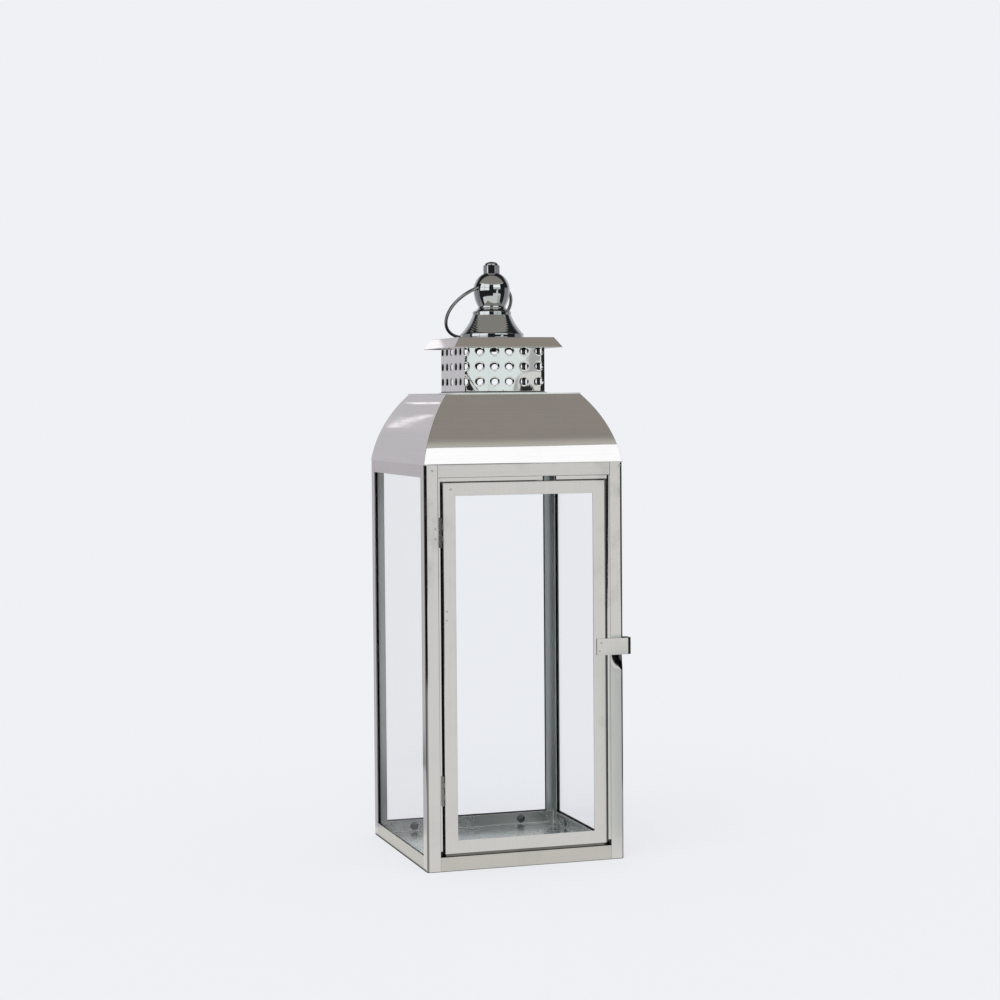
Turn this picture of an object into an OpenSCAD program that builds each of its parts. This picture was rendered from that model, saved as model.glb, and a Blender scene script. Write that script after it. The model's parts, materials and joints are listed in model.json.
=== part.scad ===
// Square candle lantern: folded steel frame, three fixed panes, a hinged glass door with a
// spring clip, a bowed roof, a perforated vent under a rain cap, and a finial with a ring.
// Millimetres, +Z up, door towards -Y, origin under the middle of the base.

/* [Body frame] */
// Outside width of the square body
body_w = 180; // [160:1:210]
// Height of the four corner posts
post_h = 349; // [320:1:400]
// Width of each leg of a corner post
post_leg = 12; // [10:0.5:15]
// Thickness of the frame metal
frame_t = 1; // [0.8:0.1:1.4]
// Outside radius of a post's folded edge
post_edge_r = 2.4; // [1.2:0.1:3]
// Height of the bottom rails
bottom_rail_h = 12.5; // [11:0.5:16]
// Height of the top rails
top_rail_h = 10.6; // [9:0.2:16]
// Width of the top rails' inward ledge
ledge_w = 10; // [8:0.5:12]

/* [Base pan] */
// Thickness of the pan metal
pan_t = 0.8; // [0.6:0.1:1.2]
// Height of the pan's upturned flange
pan_flange_h = 11.7; // [10:0.1:14]
// Width of the channel between a rail and the pan's flange
channel_w = 3; // [2.6:0.1:4]
// Distance of the rivets from the middle of each side
rivet_spread = 52; // [40:1:62]
// Height of the rivets above the ground
rivet_z = 5.8; // [5:0.1:7]
// Radius of a rivet's head
rivet_head_r = 4; // [3:0.1:4.2]
// Radius of a rivet's shank
rivet_shank_r = 2; // [1.5:0.1:2.5]
// Height of a rivet's domed head
rivet_head_h = 1.2; // [0.8:0.1:1.8]

/* [Glass] */
// Thickness of the panes
glass_t = 2; // [1.6:0.1:2.2]
// Width of each leg of the inner corner stops
stop_leg = 8; // [6:0.5:9]
// Thickness of the inner corner stops
stop_t = 0.8; // [0.6:0.1:1]

/* [Door] */
// Gap between the door and the top rail
door_gap_top = 4.4; // [2:0.1:6]
// Gap between the door and the bottom rail
door_gap_bottom = 2.6; // [2:0.1:5]
// Gap between the door and the post beside the clip
door_gap_clip = 4.5; // [2:0.1:6]
// Width of the door frame's face
door_face_w = 11.4; // [10:0.1:14]
// Depth of the door frame
door_depth = 8; // [7:0.5:10]
// Thickness of the door metal
door_t = 0.8; // [0.6:0.1:1]
// How far the door stands proud of the posts
door_proud = 0.3; // [0.3:0.05:0.6]
// Length of a tab that holds the door glass
tab_len = 10; // [6:1:14]
// Width of a tab's foot and of its lip
tab_w = 3.6; // [3:0.1:4]

/* [Hinges] */
// Length of a hinge
hinge_len = 25; // [20:1:34]
// Height of the lower hinge's middle
lower_hinge_z = 70; // [50:1:110]
// Distance of the upper hinge's middle below the top of the door
upper_hinge_drop = 42.5; // [30:0.5:90]
// Radius of the hinge knuckles
knuckle_r = 1.35; // [1.2:0.05:1.6]
// Radius of the hinge pin
pin_r = 0.6; // [0.5:0.05:0.7]
// Thickness of the hinge leaves
leaf_t = 0.6; // [0.5:0.05:0.8]
// Width of the hinge leaves
leaf_w = 6; // [5:0.5:6.5]

/* [Clip] */
// Height of the clip's middle above the middle of the door
clip_rise = 13.25; // [-50:0.05:40]
// Width of the clip strip
clip_w = 14.6; // [10:0.2:18]
// Thickness of the clip strip
clip_t = 0.8; // [0.6:0.1:1]
// Length of the clip that lies on the door
clip_seat = 8.5; // [5:0.5:10]
// How far the clip reaches past the side of the body
clip_reach = 7.8; // [5.5:0.1:8]
// Outside radius of the clip's bend
clip_bend_r = 4; // [2:0.1:4.5]
// Depth of the clip's side leg before it curls
clip_leg = 4; // [3:0.5:8]

/* [Roof] */
// Height of the bowed roof
roof_h = 60; // [50:1:80]
// Width of the roof's flat top
roof_top_w = 123; // [105:1:130]
// Radius of the bow of the roof panels
roof_bow_r = 115; // [95:1:160]
// Thickness of the roof metal
roof_t = 1; // [0.8:0.1:1.4]

/* [Vent] */
// Width of the square vent box
vent_w = 73.8; // [66:0.2:80]
// Height of the vent between the roof and the cap's lip
vent_gap = 40; // [36:1:50]
// Thickness of the vent metal
vent_t = 0.8; // [0.6:0.1:1]
// Width of the vent's foot flange
vent_flange = 1.8; // [1.5:0.1:3]
// Radius of the vent holes
vent_hole_r = 3.1; // [2.4:0.1:3.4]
// Distance between the columns of vent holes
vent_pitch = 13.8; // [13:0.1:15]
// Distance between the rows of vent holes
vent_row_pitch = 13.4; // [12:0.1:14]
// Height of the lowest row of vent holes above the roof
vent_row_z = 10.2; // [8:0.1:12]

/* [Cap] */
// Width of the cap's flat top
cap_top_w = 87.4; // [84:0.2:96]
// How far the cap's sides slope out below its top
cap_slope_w = 6.3; // [4:0.1:9]
// Height of the cap
cap_h = 9.1; // [8:0.1:12]
// Thickness of the cap metal
cap_t = 0.9; // [0.7:0.1:1.2]

/* [Finial] */
// Radius of the bell's foot
bell_r = 28.3; // [25:0.1:31]
// Height of the bell's upright foot
bell_foot_h = 4; // [3:0.1:5]
// Height of the bell
bell_h = 24.2; // [22:0.1:28]
// Radius of the bell's rim
bell_rim_r = 17.2; // [16.5:0.1:19]
// Height of the bell's rim
bell_rim_h = 3.4; // [2.5:0.1:4]
// Radius of the hollow curve of the bell's side
bell_bow_r = 52; // [45:1:80]
// Thickness of the bell and the bulb
spun_t = 1; // [0.8:0.1:1.2]
// Radius of the bulb
bulb_r = 16.2; // [15.8:0.1:17.5]
// Height of the bulb's middle above its foot
bulb_mid_h = 19.2; // [18.6:0.1:22]
// Height of the bulb's waist above its foot
waist_h = 4.2; // [4:0.1:5]
// Radius of the curve between the bulb's middle and its waist
bulb_taper_r = 30; // [28:1:40]
// Radius of the hollow curve at the bulb's foot
bulb_foot_r = 3; // [2:0.1:3.5]
// Radius of the flat under the cap nut
nut_seat_r = 7.3; // [7:0.1:8.5]
// Radius of the threaded rod
rod_r = 4; // [3:0.1:4.2]
// Width of the nuts across their flats
nut_w = 13; // [12:0.1:14]
// Height of the cap nut's hexagon
cap_nut_h = 7.8; // [6.5:0.1:9]
// Height of the cap nut's dome
cap_nut_dome_h = 2.9; // [2:0.1:4]
// Height of the nut inside the vent
inner_nut_h = 6.5; // [5:0.1:8]
// Radius of the washer inside the vent
washer_r = 12; // [9:0.5:16]
// Thickness of the washer
washer_t = 1.6; // [1:0.1:2.5]

/* [Ring] */
// Radius of the ring to the middle of its wire
ring_r = 32.4; // [31:0.1:38]
// Radius of the ring's wire
wire_r = 1.5; // [1.2:0.1:1.6]
// Radius of the two holes in the bulb that the ring turns in
ring_hole_r = 2.5; // [2.5:0.1:2.8]
// Height of the ring's holes above the bulb's middle
ring_hole_rise = 1.5; // [1:0.1:2.5]
// Turn of the ring's swing axis away from +X, in degrees
ring_turn = 19; // [0:1:45]
// How far each wire end reaches into the bulb
ring_end = 6; // [4:0.5:7]

/* [Hidden] */

arc_steps = 14;
eps = 0.01;
round_fn = 48;
ledge_gap = 1;      // over the top edge of a pane
fit_gap = 0.3;      // between parts that move past each other
hinge_air = 0.4;    // more room on each side of the hinge knuckles
slip_gap = 0.05;    // between a pin or rod and its hole
seat_gap = 0.2;     // between a pane and the metal at its edge

half_w = body_w/2;
post_edge = half_w - post_leg;              // inner edge of a post's leg
rail_in = half_w - frame_t;                 // inner face of the rails and posts
flange_out = rail_in - channel_w;           // outer face of the pan's flange
flange_in = flange_out - pan_t;
pane_mid = rail_in - channel_w/2;           // middle plane of a fixed pane
pane_z0 = rivet_z + rivet_shank_r + slip_gap;
pane_z1 = post_h - frame_t - ledge_gap;
pane_end = pane_mid - glass_t/2 - seat_gap; // end of a side pane, at the back pane
pane_corner = rail_in - seat_gap;           // end of a pane at a post

roof_z1 = post_h + roof_h;                  // underside of the flat top
vent_z0 = roof_z1 + roof_t;
cap_w = cap_top_w + 2*cap_slope_w;
cap_z0 = vent_z0 + vent_gap;
cap_z1 = cap_z0 + cap_h;
vent_z1 = cap_z1 - cap_t;
bell_z1 = cap_z1 + bell_h;
bulb_mid_z = bell_z1 + bulb_mid_h;
nut_z0 = bulb_mid_z + sqrt(bulb_r*bulb_r - nut_seat_r*nut_seat_r);

door_front = -half_w - door_proud;
hinge_gap = 2*(knuckle_r + fit_gap + hinge_air);        // between the post and the door at the hinges
door_x0 = -post_edge + hinge_gap;
door_x1 = post_edge - door_gap_clip;
door_z0 = bottom_rail_h + door_gap_bottom;
door_z1 = post_h - top_rail_h - door_gap_top;
glass_y0 = door_front + door_t;
upper_hinge_z = door_z1 - upper_hinge_drop;
clip_z = (door_z0 + door_z1)/2 + clip_rise;
hinge_x = -post_edge + hinge_gap/2;
hinge_y = door_front;
leaf_y = -rail_in + leaf_t;                 // back face of the frame leaves
glass_y1 = glass_y0 + glass_t;
knuckle_count = 5;
tab_t = 0.6;
tab_places = [0.15, 0.5, 0.85];             // along the stiles, as shares of the door's height

ring_axis_z = bulb_mid_z + ring_hole_rise;
ring_pass = sqrt(bulb_r*bulb_r - ring_hole_rise*ring_hole_rise) - spun_t/2;
ring_off = sqrt(ring_r*ring_r - ring_pass*ring_pass);
ring_gap_angle = asin((ring_pass - ring_end)/ring_r);
ring_lean = ring_rest_angle();              // below level, where the ring rests on the cap's edge

sides = [["front", 0], ["right", 90], ["back", 180], ["left", 270]];

// Points on an arc round c from angle a0 to a1
function arc(c, r, a0, a1) =
    [for (i = [0:arc_steps]) let (a = a0 + (a1 - a0)*i/arc_steps) [c.x + r*cos(a), c.y + r*sin(a)]];

// Centre of the arc of radius r from p to q, with the centre on the left of the way from p to q
function arc_centre(p, q, r) =
    let (m = (p + q)/2, d = q - p, h = norm(d)/2)
    m + [-d.y, d.x]/(2*h)*sqrt(r*r - h*h);

// Direction from c to p, from 0 to 360
function angle_of(c, p) = (atan2(p.y - c.y, p.x - c.x) + 360) % 360;

// Height of the ring's centreline over the cap's flat top, or its distance from the top's rear
// edge past it, for the point t degrees round the ring, with the ring leaning a below level
function wire_clear(a, t) =
    let (u = ring_r*cos(t), v = ring_off + ring_r*sin(t),
         y = u*sin(ring_turn) + v*cos(a)*cos(ring_turn),
         z = ring_axis_z - v*sin(a))
    y < cap_top_w/2 ? z - cap_z1 : norm([y - cap_top_w/2, z - cap_z1]);
function ring_clear(a) = min([for (t = [0:3:180]) wire_clear(a, t)]);

// Largest lean that leaves the wire just clear of the cap
function ring_rest_angle() = max([for (a = [15:0.5:60]) if (ring_clear(a) >= wire_r + fit_gap) a]);

module on_side(turn) {
    rotate([0, 0, turn]) children();
}

// A flat bar on the outline of one side, from x0 to x1 and z0 to z1
module side_bar(x0, x1, z0, z1, y_out, t) {
    translate([x0, -y_out, z0]) cube([x1 - x0, t, z1 - z0]);
}

// Folded angle with its outer edge at the origin and legs along +X and +Y
module angle_section(leg, t, r) {
    difference() {
        union() {
            translate([r, 0]) square([leg - r, leg]);
            translate([0, r]) square([leg, leg - r]);
            translate([r, r]) circle(r, $fn = 32);
        }
        translate([t, t]) square(leg);
    }
}

module post(turn) {
    color("gainsboro") on_side(turn) translate([-half_w, -half_w, 0])
        linear_extrude(post_h) angle_section(post_leg, frame_t, post_edge_r);
}

module glass_stop(turn) {
    color("silver") on_side(turn) translate([-flange_out, -flange_out, pan_flange_h])
        linear_extrude(post_h - frame_t - pan_flange_h)
            difference() {
                square(stop_leg);
                translate([stop_t, stop_t]) square(stop_leg);
            }
}

module bottom_rail(turn) {
    color("gainsboro") on_side(turn)
        side_bar(-post_edge, post_edge, 0, bottom_rail_h, half_w, frame_t);
}

module top_rail(turn) {
    color("gainsboro") on_side(turn) {
        side_bar(-post_edge, post_edge, post_h - top_rail_h, post_h, half_w, frame_t);
        side_bar(-post_edge, post_edge, post_h - frame_t, post_h, half_w, ledge_w);
    }
}

module base_pan() {
    color("darkgray") difference() {
        translate([-flange_out, -flange_out, 0]) cube([2*flange_out, 2*flange_out, pan_flange_h]);
        translate([-flange_in, -flange_in, pan_t]) cube([2*flange_in, 2*flange_in, pan_flange_h]);
        at_rivets() rivet_bore();
    }
}

// Places its children at each rivet, with +Z pointing outwards through the flange
module at_rivets() {
    for (s = sides, x = [-rivet_spread, rivet_spread])
        on_side(s[1]) translate([x, -flange_in, rivet_z]) rotate([90, 0, 0]) children();
}

module rivet_bore() {
    translate([0, 0, -eps]) cylinder(r = rivet_shank_r + slip_gap, h = pan_t + 2*eps, $fn = 32);
}

// Rivet with its domed head inside the pan and its shank across the channel to the rail
module rivet() {
    dome_r = (rivet_head_r*rivet_head_r + rivet_head_h*rivet_head_h)/(2*rivet_head_h);
    dome = [for (i = [0:arc_steps]) let (x = rivet_head_r*(1 - i/arc_steps))
        [x, -rivet_head_h + dome_r - sqrt(dome_r*dome_r - x*x)]];
    rotate_extrude($fn = 32) polygon(concat([[0, 0]], dome));
    cylinder(r = rivet_shank_r, h = rail_in - flange_in, $fn = 32);
}

module pan_rivets() {
    color("dimgray") at_rivets() rivet();
}

// Pane in the channel of one side, from x0 to x1
module pane(turn, x0, x1) {
    color("lightcyan", 0.35) on_side(turn)
        side_bar(x0, x1, pane_z0, pane_z1, pane_mid + glass_t/2, glass_t);
}

// Bowed sheet of one roof side as a profile in Y and Z, with its outside towards -Y
module roof_section() {
    c = arc_centre([-roof_top_w/2, roof_z1], [-half_w, post_h], roof_bow_r);
    intersection() {
        difference() {
            translate(c) circle(roof_bow_r, $fn = 180);
            translate(c) circle(roof_bow_r - roof_t, $fn = 180);
        }
        translate([-body_w, post_h]) square([body_w + c.x, roof_h]);
    }
}

module roof_panel(turn) {
    color("gainsboro") on_side(turn) intersection() {
        rotate([90, 0, 90]) translate([0, 0, -half_w]) linear_extrude(body_w) roof_section();
        linear_extrude(2*roof_z1) polygon([[0, 0], [-body_w, -body_w], [body_w, -body_w]]);
    }
}

module roof_top_plate() {
    opening = vent_w - 2*vent_t;
    color("gainsboro") translate([0, 0, roof_z1]) linear_extrude(roof_t) difference() {
        square(roof_top_w, center = true);
        square(opening, center = true);
    }
}

// Where the columns of holes start on each side, from its left-hand corner seen from outside
vent_starts = [-0.3, 8.1, 9.1, 4.6];
vent_hole_edge = 1.5;   // least metal between a hole and the end of its row or column
vent_rows = floor((vent_z1 - vent_z0 - vent_row_z - vent_hole_r - vent_hole_edge)/vent_row_pitch);

module vent_hole(x, row) {
    translate([x, 0, vent_z0 + vent_row_z + row*vent_row_pitch]) rotate([90, 0, 0])
        cylinder(r = vent_hole_r, h = vent_w, $fn = 32);
}

// The holes of one side; where the first lies on a corner it is also cut into the next side
module vent_holes(side) {
    columns = floor((vent_w - vent_hole_r - vent_hole_edge - vent_starts[side])/vent_pitch);
    for (row = [0:vent_rows]) {
        on_side(sides[side][1]) intersection() {
            for (column = [0:columns])
                vent_hole(-vent_w/2 + vent_starts[side] + column*vent_pitch, row);
            translate([-vent_w, -vent_w/2 - eps, 0]) cube([2*vent_w, vent_t + 2*eps, 2*vent_z1]);
        }
        if (vent_starts[side] < 0)
            on_side(sides[side][1] - 90) intersection() {
                vent_hole(vent_w/2 + vent_starts[side], row);
                translate([0, -vent_w/2 - eps, 0]) cube([vent_w, vent_t + 2*eps, 2*vent_z1]);
            }
    }
}

module vent_box() {
    foot_w = vent_w + 2*vent_flange;
    inner_w = vent_w - 2*vent_t;
    color("whitesmoke") difference() {
        union() {
            translate([-vent_w/2, -vent_w/2, vent_z0]) cube([vent_w, vent_w, vent_z1 - vent_z0]);
            translate([-foot_w/2, -foot_w/2, vent_z0]) cube([foot_w, foot_w, vent_t]);
        }
        translate([-inner_w/2, -inner_w/2, vent_z0 - 1]) cube([inner_w, inner_w, 2*vent_gap]);
        for (side = [0:3]) vent_holes(side);
    }
}

// Square frustum, w0 wide at the bottom and w1 at the top
module frustum(w0, w1, h) {
    outline = [[-w0/2, 0], [w0/2, 0], [w1/2, h], [-w1/2, h]];
    intersection() {
        rotate([90, 0, 0]) translate([0, 0, -w0]) linear_extrude(2*w0) polygon(outline);
        rotate([90, 0, 90]) translate([0, 0, -w0]) linear_extrude(2*w0) polygon(outline);
    }
}

module rain_cap() {
    slope = cap_slope_w/cap_h;
    side_t = cap_t*sqrt(1 + slope*slope);
    inner_h = cap_h - cap_t;
    inner_w = cap_w - 2*side_t;
    color("gainsboro") translate([0, 0, cap_z0]) difference() {
        frustum(cap_w, cap_top_w, cap_h);
        translate([0, 0, -eps]) frustum(inner_w, inner_w - 2*slope*inner_h, inner_h + eps);
        cylinder(r = rod_r + slip_gap, h = 2*cap_h, $fn = round_fn);
    }
}

// Spun bell: an upright foot, a hollow curve and a rim, closed at the top
module finial_bell() {
    rim_z = bell_h - bell_rim_h;
    p = [bell_r, bell_foot_h];
    q = [bell_rim_r, rim_z];
    c = arc_centre(q, p, bell_bow_r);
    side = arc(c, bell_bow_r, angle_of(c, p), angle_of(c, q));
    inner = [for (i = [arc_steps:-1:0]) side[i] - [spun_t, spun_t/2]];
    color("silver") translate([0, 0, cap_z1]) rotate_extrude($fn = 96)
        polygon(concat([[bell_r, 0]], side, [[bell_rim_r, bell_h], [rod_r + slip_gap, bell_h],
            [rod_r + slip_gap, bell_h - spun_t], [bell_rim_r - spun_t, bell_h - spun_t]],
            inner, [[bell_r - spun_t, 0]]));
}

// Spun bulb: a flared foot, a waist and a round top, with two holes for the ring
module finial_bulb() {
    taper_c = [bulb_r - bulb_taper_r, bulb_mid_h];
    waist_r = taper_c.x + sqrt(pow(bulb_taper_r, 2) - pow(bulb_mid_h - waist_h, 2));
    foot = arc([waist_r + bulb_foot_r, waist_h], bulb_foot_r, 270, 180);
    waist_angle = angle_of(taper_c, [waist_r, waist_h]);
    taper = arc(taper_c, bulb_taper_r, waist_angle, 360);
    top = arc([0, bulb_mid_h], bulb_r, 0, acos(nut_seat_r/bulb_r));
    inner_top = arc([0, bulb_mid_h], bulb_r - spun_t, acos((rod_r + slip_gap)/(bulb_r - spun_t)), 0);
    inner_taper = arc(taper_c, bulb_taper_r - spun_t, 360, waist_angle);
    top_h = nut_z0 - bell_z1;
    color("silver") difference() {
        translate([0, 0, bell_z1]) rotate_extrude($fn = 96)
            polygon(concat([[waist_r + bulb_foot_r, 0]], foot, taper, top,
                [[rod_r + slip_gap, top_h]], inner_top, inner_taper, [[waist_r - spun_t, 0]]));
        translate([0, 0, ring_axis_z]) rotate([0, 90, ring_turn])
            cylinder(r = ring_hole_r, h = 4*bulb_r, center = true, $fn = round_fn);
    }
}

rod_tail = 3;       // below the inner nut
rod_room = 1.5;     // of the cap nut's hexagon above the rod
bore_room = 0.5;    // of the cap nut's bore above the rod
module finial_rod() {
    z0 = vent_z1 - washer_t - inner_nut_h - rod_tail;
    color("darkgray") translate([0, 0, z0])
        cylinder(r = rod_r, h = nut_z0 + cap_nut_h - rod_room - z0, $fn = round_fn);
}

// Hexagon with chamfered corners
module hex_nut_body(h, chamfer) {
    corner_r = nut_w/2/cos(30);
    intersection() {
        cylinder(r = corner_r, h = h, $fn = 6);
        rotate_extrude($fn = round_fn) polygon([[0, 0], [corner_r - chamfer, 0], [corner_r, chamfer/2],
            [corner_r, h - chamfer/2], [corner_r - chamfer, h], [0, h]]);
    }
}

nut_turn = 12;      // of the cap nut's flats
nut_chamfer = 1;
module cap_nut() {
    dome_w = nut_w/2 - nut_chamfer/2;
    dome_r = (dome_w*dome_w + cap_nut_dome_h*cap_nut_dome_h)/(2*cap_nut_dome_h);
    dome = [for (i = [0:arc_steps]) let (x = dome_w*(1 - i/arc_steps))
        [x, cap_nut_h + cap_nut_dome_h - dome_r + sqrt(dome_r*dome_r - x*x)]];
    color("silver") translate([0, 0, nut_z0]) difference() {
        union() {
            rotate([0, 0, nut_turn]) hex_nut_body(cap_nut_h, nut_chamfer);
            rotate_extrude($fn = round_fn)
                polygon(concat([[0, cap_nut_h/2], [dome_w, cap_nut_h/2]], dome));
        }
        translate([0, 0, -eps])
            cylinder(r = rod_r + slip_gap, h = cap_nut_h - rod_room + bore_room + eps, $fn = round_fn);
    }
}

module inner_nut() {
    color("darkgray") translate([0, 0, vent_z1 - washer_t - inner_nut_h]) difference() {
        hex_nut_body(inner_nut_h, nut_chamfer);
        translate([0, 0, -eps]) cylinder(r = rod_r + slip_gap, h = 2*inner_nut_h, $fn = round_fn);
    }
}

module inner_washer() {
    color("darkgray") translate([0, 0, vent_z1 - washer_t]) difference() {
        cylinder(r = washer_r, h = washer_t, $fn = round_fn);
        translate([0, 0, -eps]) cylinder(r = rod_r + slip_gap, h = 2*washer_t, $fn = round_fn);
    }
}

// Open ring whose two ends enter the bulb's holes
module ring_handle() {
    color("gray") translate([0, 0, ring_axis_z]) rotate([0, 0, ring_turn]) rotate([-ring_lean, 0, 0])
        translate([0, ring_off, 0]) rotate([0, 0, ring_gap_angle - 90])
            rotate_extrude(angle = 360 - 2*ring_gap_angle, $fn = 96)
                translate([ring_r, 0]) circle(wire_r, $fn = 32);
}

// Knuckle number i of a hinge whose middle is at height z
module knuckle(z, i) {
    pitch = hinge_len/knuckle_count;
    low = i == 0 ? 0 : fit_gap/2;
    high = i == knuckle_count - 1 ? 0 : fit_gap/2;
    translate([0, 0, z - hinge_len/2 + i*pitch + low])
        linear_extrude(pitch - low - high) children();
}

module knuckle_round() {
    translate([hinge_x, hinge_y]) circle(knuckle_r, $fn = 32);
}

module pin_bore() {
    translate([hinge_x, hinge_y, 0]) cylinder(r = pin_r + slip_gap, h = post_h, $fn = 32);
}

// Leaf behind the post, with the odd knuckles
module hinge_frame_leaf(z) {
    x1 = hinge_x - knuckle_r;
    color("darkgray") difference() {
        union() {
            translate([-post_edge - leaf_w, -rail_in, z - hinge_len/2])
                cube([x1 + post_edge + leaf_w, leaf_t, hinge_len]);
            for (i = [0:2:knuckle_count - 1]) knuckle(z, i) {
                knuckle_round();
                translate([x1 - leaf_t, -rail_in]) square([knuckle_r + leaf_t, leaf_t]);
                translate([x1, hinge_y]) square([knuckle_r, leaf_y - hinge_y]);
            }
        }
        pin_bore();
    }
}

// Leaf on the door's left edge, with the even knuckles
module hinge_door_leaf(z) {
    y0 = hinge_y + knuckle_r + fit_gap;
    color("darkgray") difference() {
        union() {
            translate([door_x0 - leaf_t, y0, z - hinge_len/2]) cube([leaf_t, leaf_w, hinge_len]);
            for (i = [1:2:knuckle_count - 1]) knuckle(z, i) {
                knuckle_round();
                translate([hinge_x, hinge_y]) square([door_x0 - hinge_x, y0 - hinge_y + leaf_t]);
            }
        }
        pin_bore();
    }
}

pin_head_r = 1.05;
pin_head_h = 0.5;
module hinge_pin(z) {
    color("gray") translate([hinge_x, hinge_y, z]) {
        cylinder(r = pin_r, h = hinge_len + 2*pin_head_h, center = true, $fn = 32);
        for (end = [0, 1]) mirror([0, 0, end])
            translate([0, 0, hinge_len/2]) cylinder(r = pin_head_r, h = pin_head_h, $fn = 32);
    }
}

// Folded stile; edge_x is its outer edge and inward is the way to the door's middle
module door_stile(edge_x, inward) {
    color("lightgray") translate([edge_x, door_front, door_z0]) mirror([inward < 0 ? 1 : 0, 0, 0]) {
        cube([door_face_w, door_t, door_z1 - door_z0]);
        cube([door_t, door_depth, door_z1 - door_z0]);
    }
}

// Folded rail between the stiles; edge_z is its outer edge and inward the way to the middle
module door_rail(edge_z, inward) {
    face_x0 = door_x0 + door_face_w;
    face_len = door_x1 - door_x0 - 2*door_face_w;
    color("lightgray") translate([0, door_front, edge_z]) mirror([0, 0, inward < 0 ? 1 : 0]) {
        translate([face_x0, 0, 0]) cube([face_len, door_t, door_face_w]);
        translate([face_x0, 0, 0]) cube([face_len, door_depth, door_t]);
        translate([door_x0 + door_t, door_t, 0])
            cube([door_x1 - door_x0 - 2*door_t, door_depth - door_t, door_t]);
    }
}

module door_glass() {
    x0 = door_x0 + door_t + seat_gap;
    z0 = door_z0 + door_t;
    color("lightcyan", 0.35) translate([x0, glass_y0, z0])
        cube([door_x1 - door_t - seat_gap - x0, glass_t, door_z1 - door_t - seat_gap - z0]);
}

// Folded tab in the corner of two walls: its foot runs back along Y and its lip along +X
module glass_tab() {
    cube([tab_w, tab_t, tab_len]);
    cube([tab_t, tab_w, tab_len]);
}

module door_glass_tabs() {
    mid_x = (door_x0 + door_x1)/2;
    color("silver") {
        for (place = tab_places) {
            z = door_z0 + place*(door_z1 - door_z0) - tab_len/2;
            translate([door_x0 + door_t, glass_y1, z]) glass_tab();
            translate([door_x1 - door_t, glass_y1, z]) mirror([1, 0, 0]) glass_tab();
        }
        translate([mid_x + tab_len/2, glass_y1, door_z0 + door_t]) rotate([0, -90, 0]) glass_tab();
        translate([mid_x - tab_len/2, glass_y1, door_z1 - door_t]) rotate([0, 90, 0]) glass_tab();
    }
}

// Quarter or half of a round bend of the clip strip, cut by its children
module clip_bend(c, r) {
    intersection() {
        translate(c) difference() {
            circle(r, $fn = round_fn);
            circle(r - clip_t, $fn = round_fn);
        }
        children();
    }
}

// Spring strip across the door's edge and the post, bent back and curled in beside the body
module latch_clip() {
    x_out = half_w + clip_reach;
    y_out = door_front - clip_t;
    bend_c = [x_out - clip_bend_r, y_out + clip_bend_r];
    curl_r = (clip_reach - fit_gap)/2;
    curl_c = [x_out - curl_r, bend_c.y + clip_leg];
    x0 = door_x1 - clip_seat;
    tail = 1.5;
    color("lightgray") translate([0, 0, clip_z - clip_w/2]) linear_extrude(clip_w) {
        translate([x0, y_out]) square([bend_c.x - x0, clip_t]);
        clip_bend(bend_c, clip_bend_r) translate([bend_c.x, y_out]) square(clip_bend_r);
        translate([x_out - clip_t, bend_c.y]) square([clip_t, clip_leg]);
        clip_bend(curl_c, curl_r) translate([curl_c.x - curl_r, curl_c.y]) square([2*curl_r, curl_r]);
        translate([x_out - 2*curl_r, curl_c.y - tail]) square([clip_t, tail]);
    }
}

post(0);  // post_front_left
post(90);  // post_front_right
post(180);  // post_back_right
post(270);  // post_back_left
bottom_rail(0);  // bottom_rail_front
bottom_rail(90);  // bottom_rail_right
bottom_rail(180);  // bottom_rail_back
bottom_rail(270);  // bottom_rail_left
top_rail(0);  // top_rail_front
top_rail(90);  // top_rail_right
top_rail(180);  // top_rail_back
top_rail(270);  // top_rail_left
base_pan();
pan_rivets();
glass_stop(0);  // glass_stop_front_left
glass_stop(90);  // glass_stop_front_right
glass_stop(180);  // glass_stop_back_right
glass_stop(270);  // glass_stop_back_left
pane(90, -pane_corner, pane_end);  // glass_right
pane(180, -pane_corner, pane_corner);  // glass_back
pane(270, -pane_end, pane_corner);  // glass_left
roof_panel(0);  // roof_panel_front
roof_panel(90);  // roof_panel_right
roof_panel(180);  // roof_panel_back
roof_panel(270);  // roof_panel_left
roof_top_plate();
vent_box();
rain_cap();
finial_bell();
finial_bulb();
finial_rod();
cap_nut();
inner_nut();
inner_washer();
ring_handle();
hinge_frame_leaf(upper_hinge_z);  // upper_hinge_frame_leaf
hinge_frame_leaf(lower_hinge_z);  // lower_hinge_frame_leaf
hinge_door_leaf(upper_hinge_z);  // upper_hinge_door_leaf
hinge_door_leaf(lower_hinge_z);  // lower_hinge_door_leaf
hinge_pin(upper_hinge_z);  // upper_hinge_pin
hinge_pin(lower_hinge_z);  // lower_hinge_pin
door_stile(door_x0, 1);  // door_stile_left
door_stile(door_x1, -1);  // door_stile_right
door_rail(door_z1, -1);  // door_rail_top
door_rail(door_z0, 1);  // door_rail_bottom
door_glass();
door_glass_tabs();
latch_clip();
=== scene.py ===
import json
import math

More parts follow.
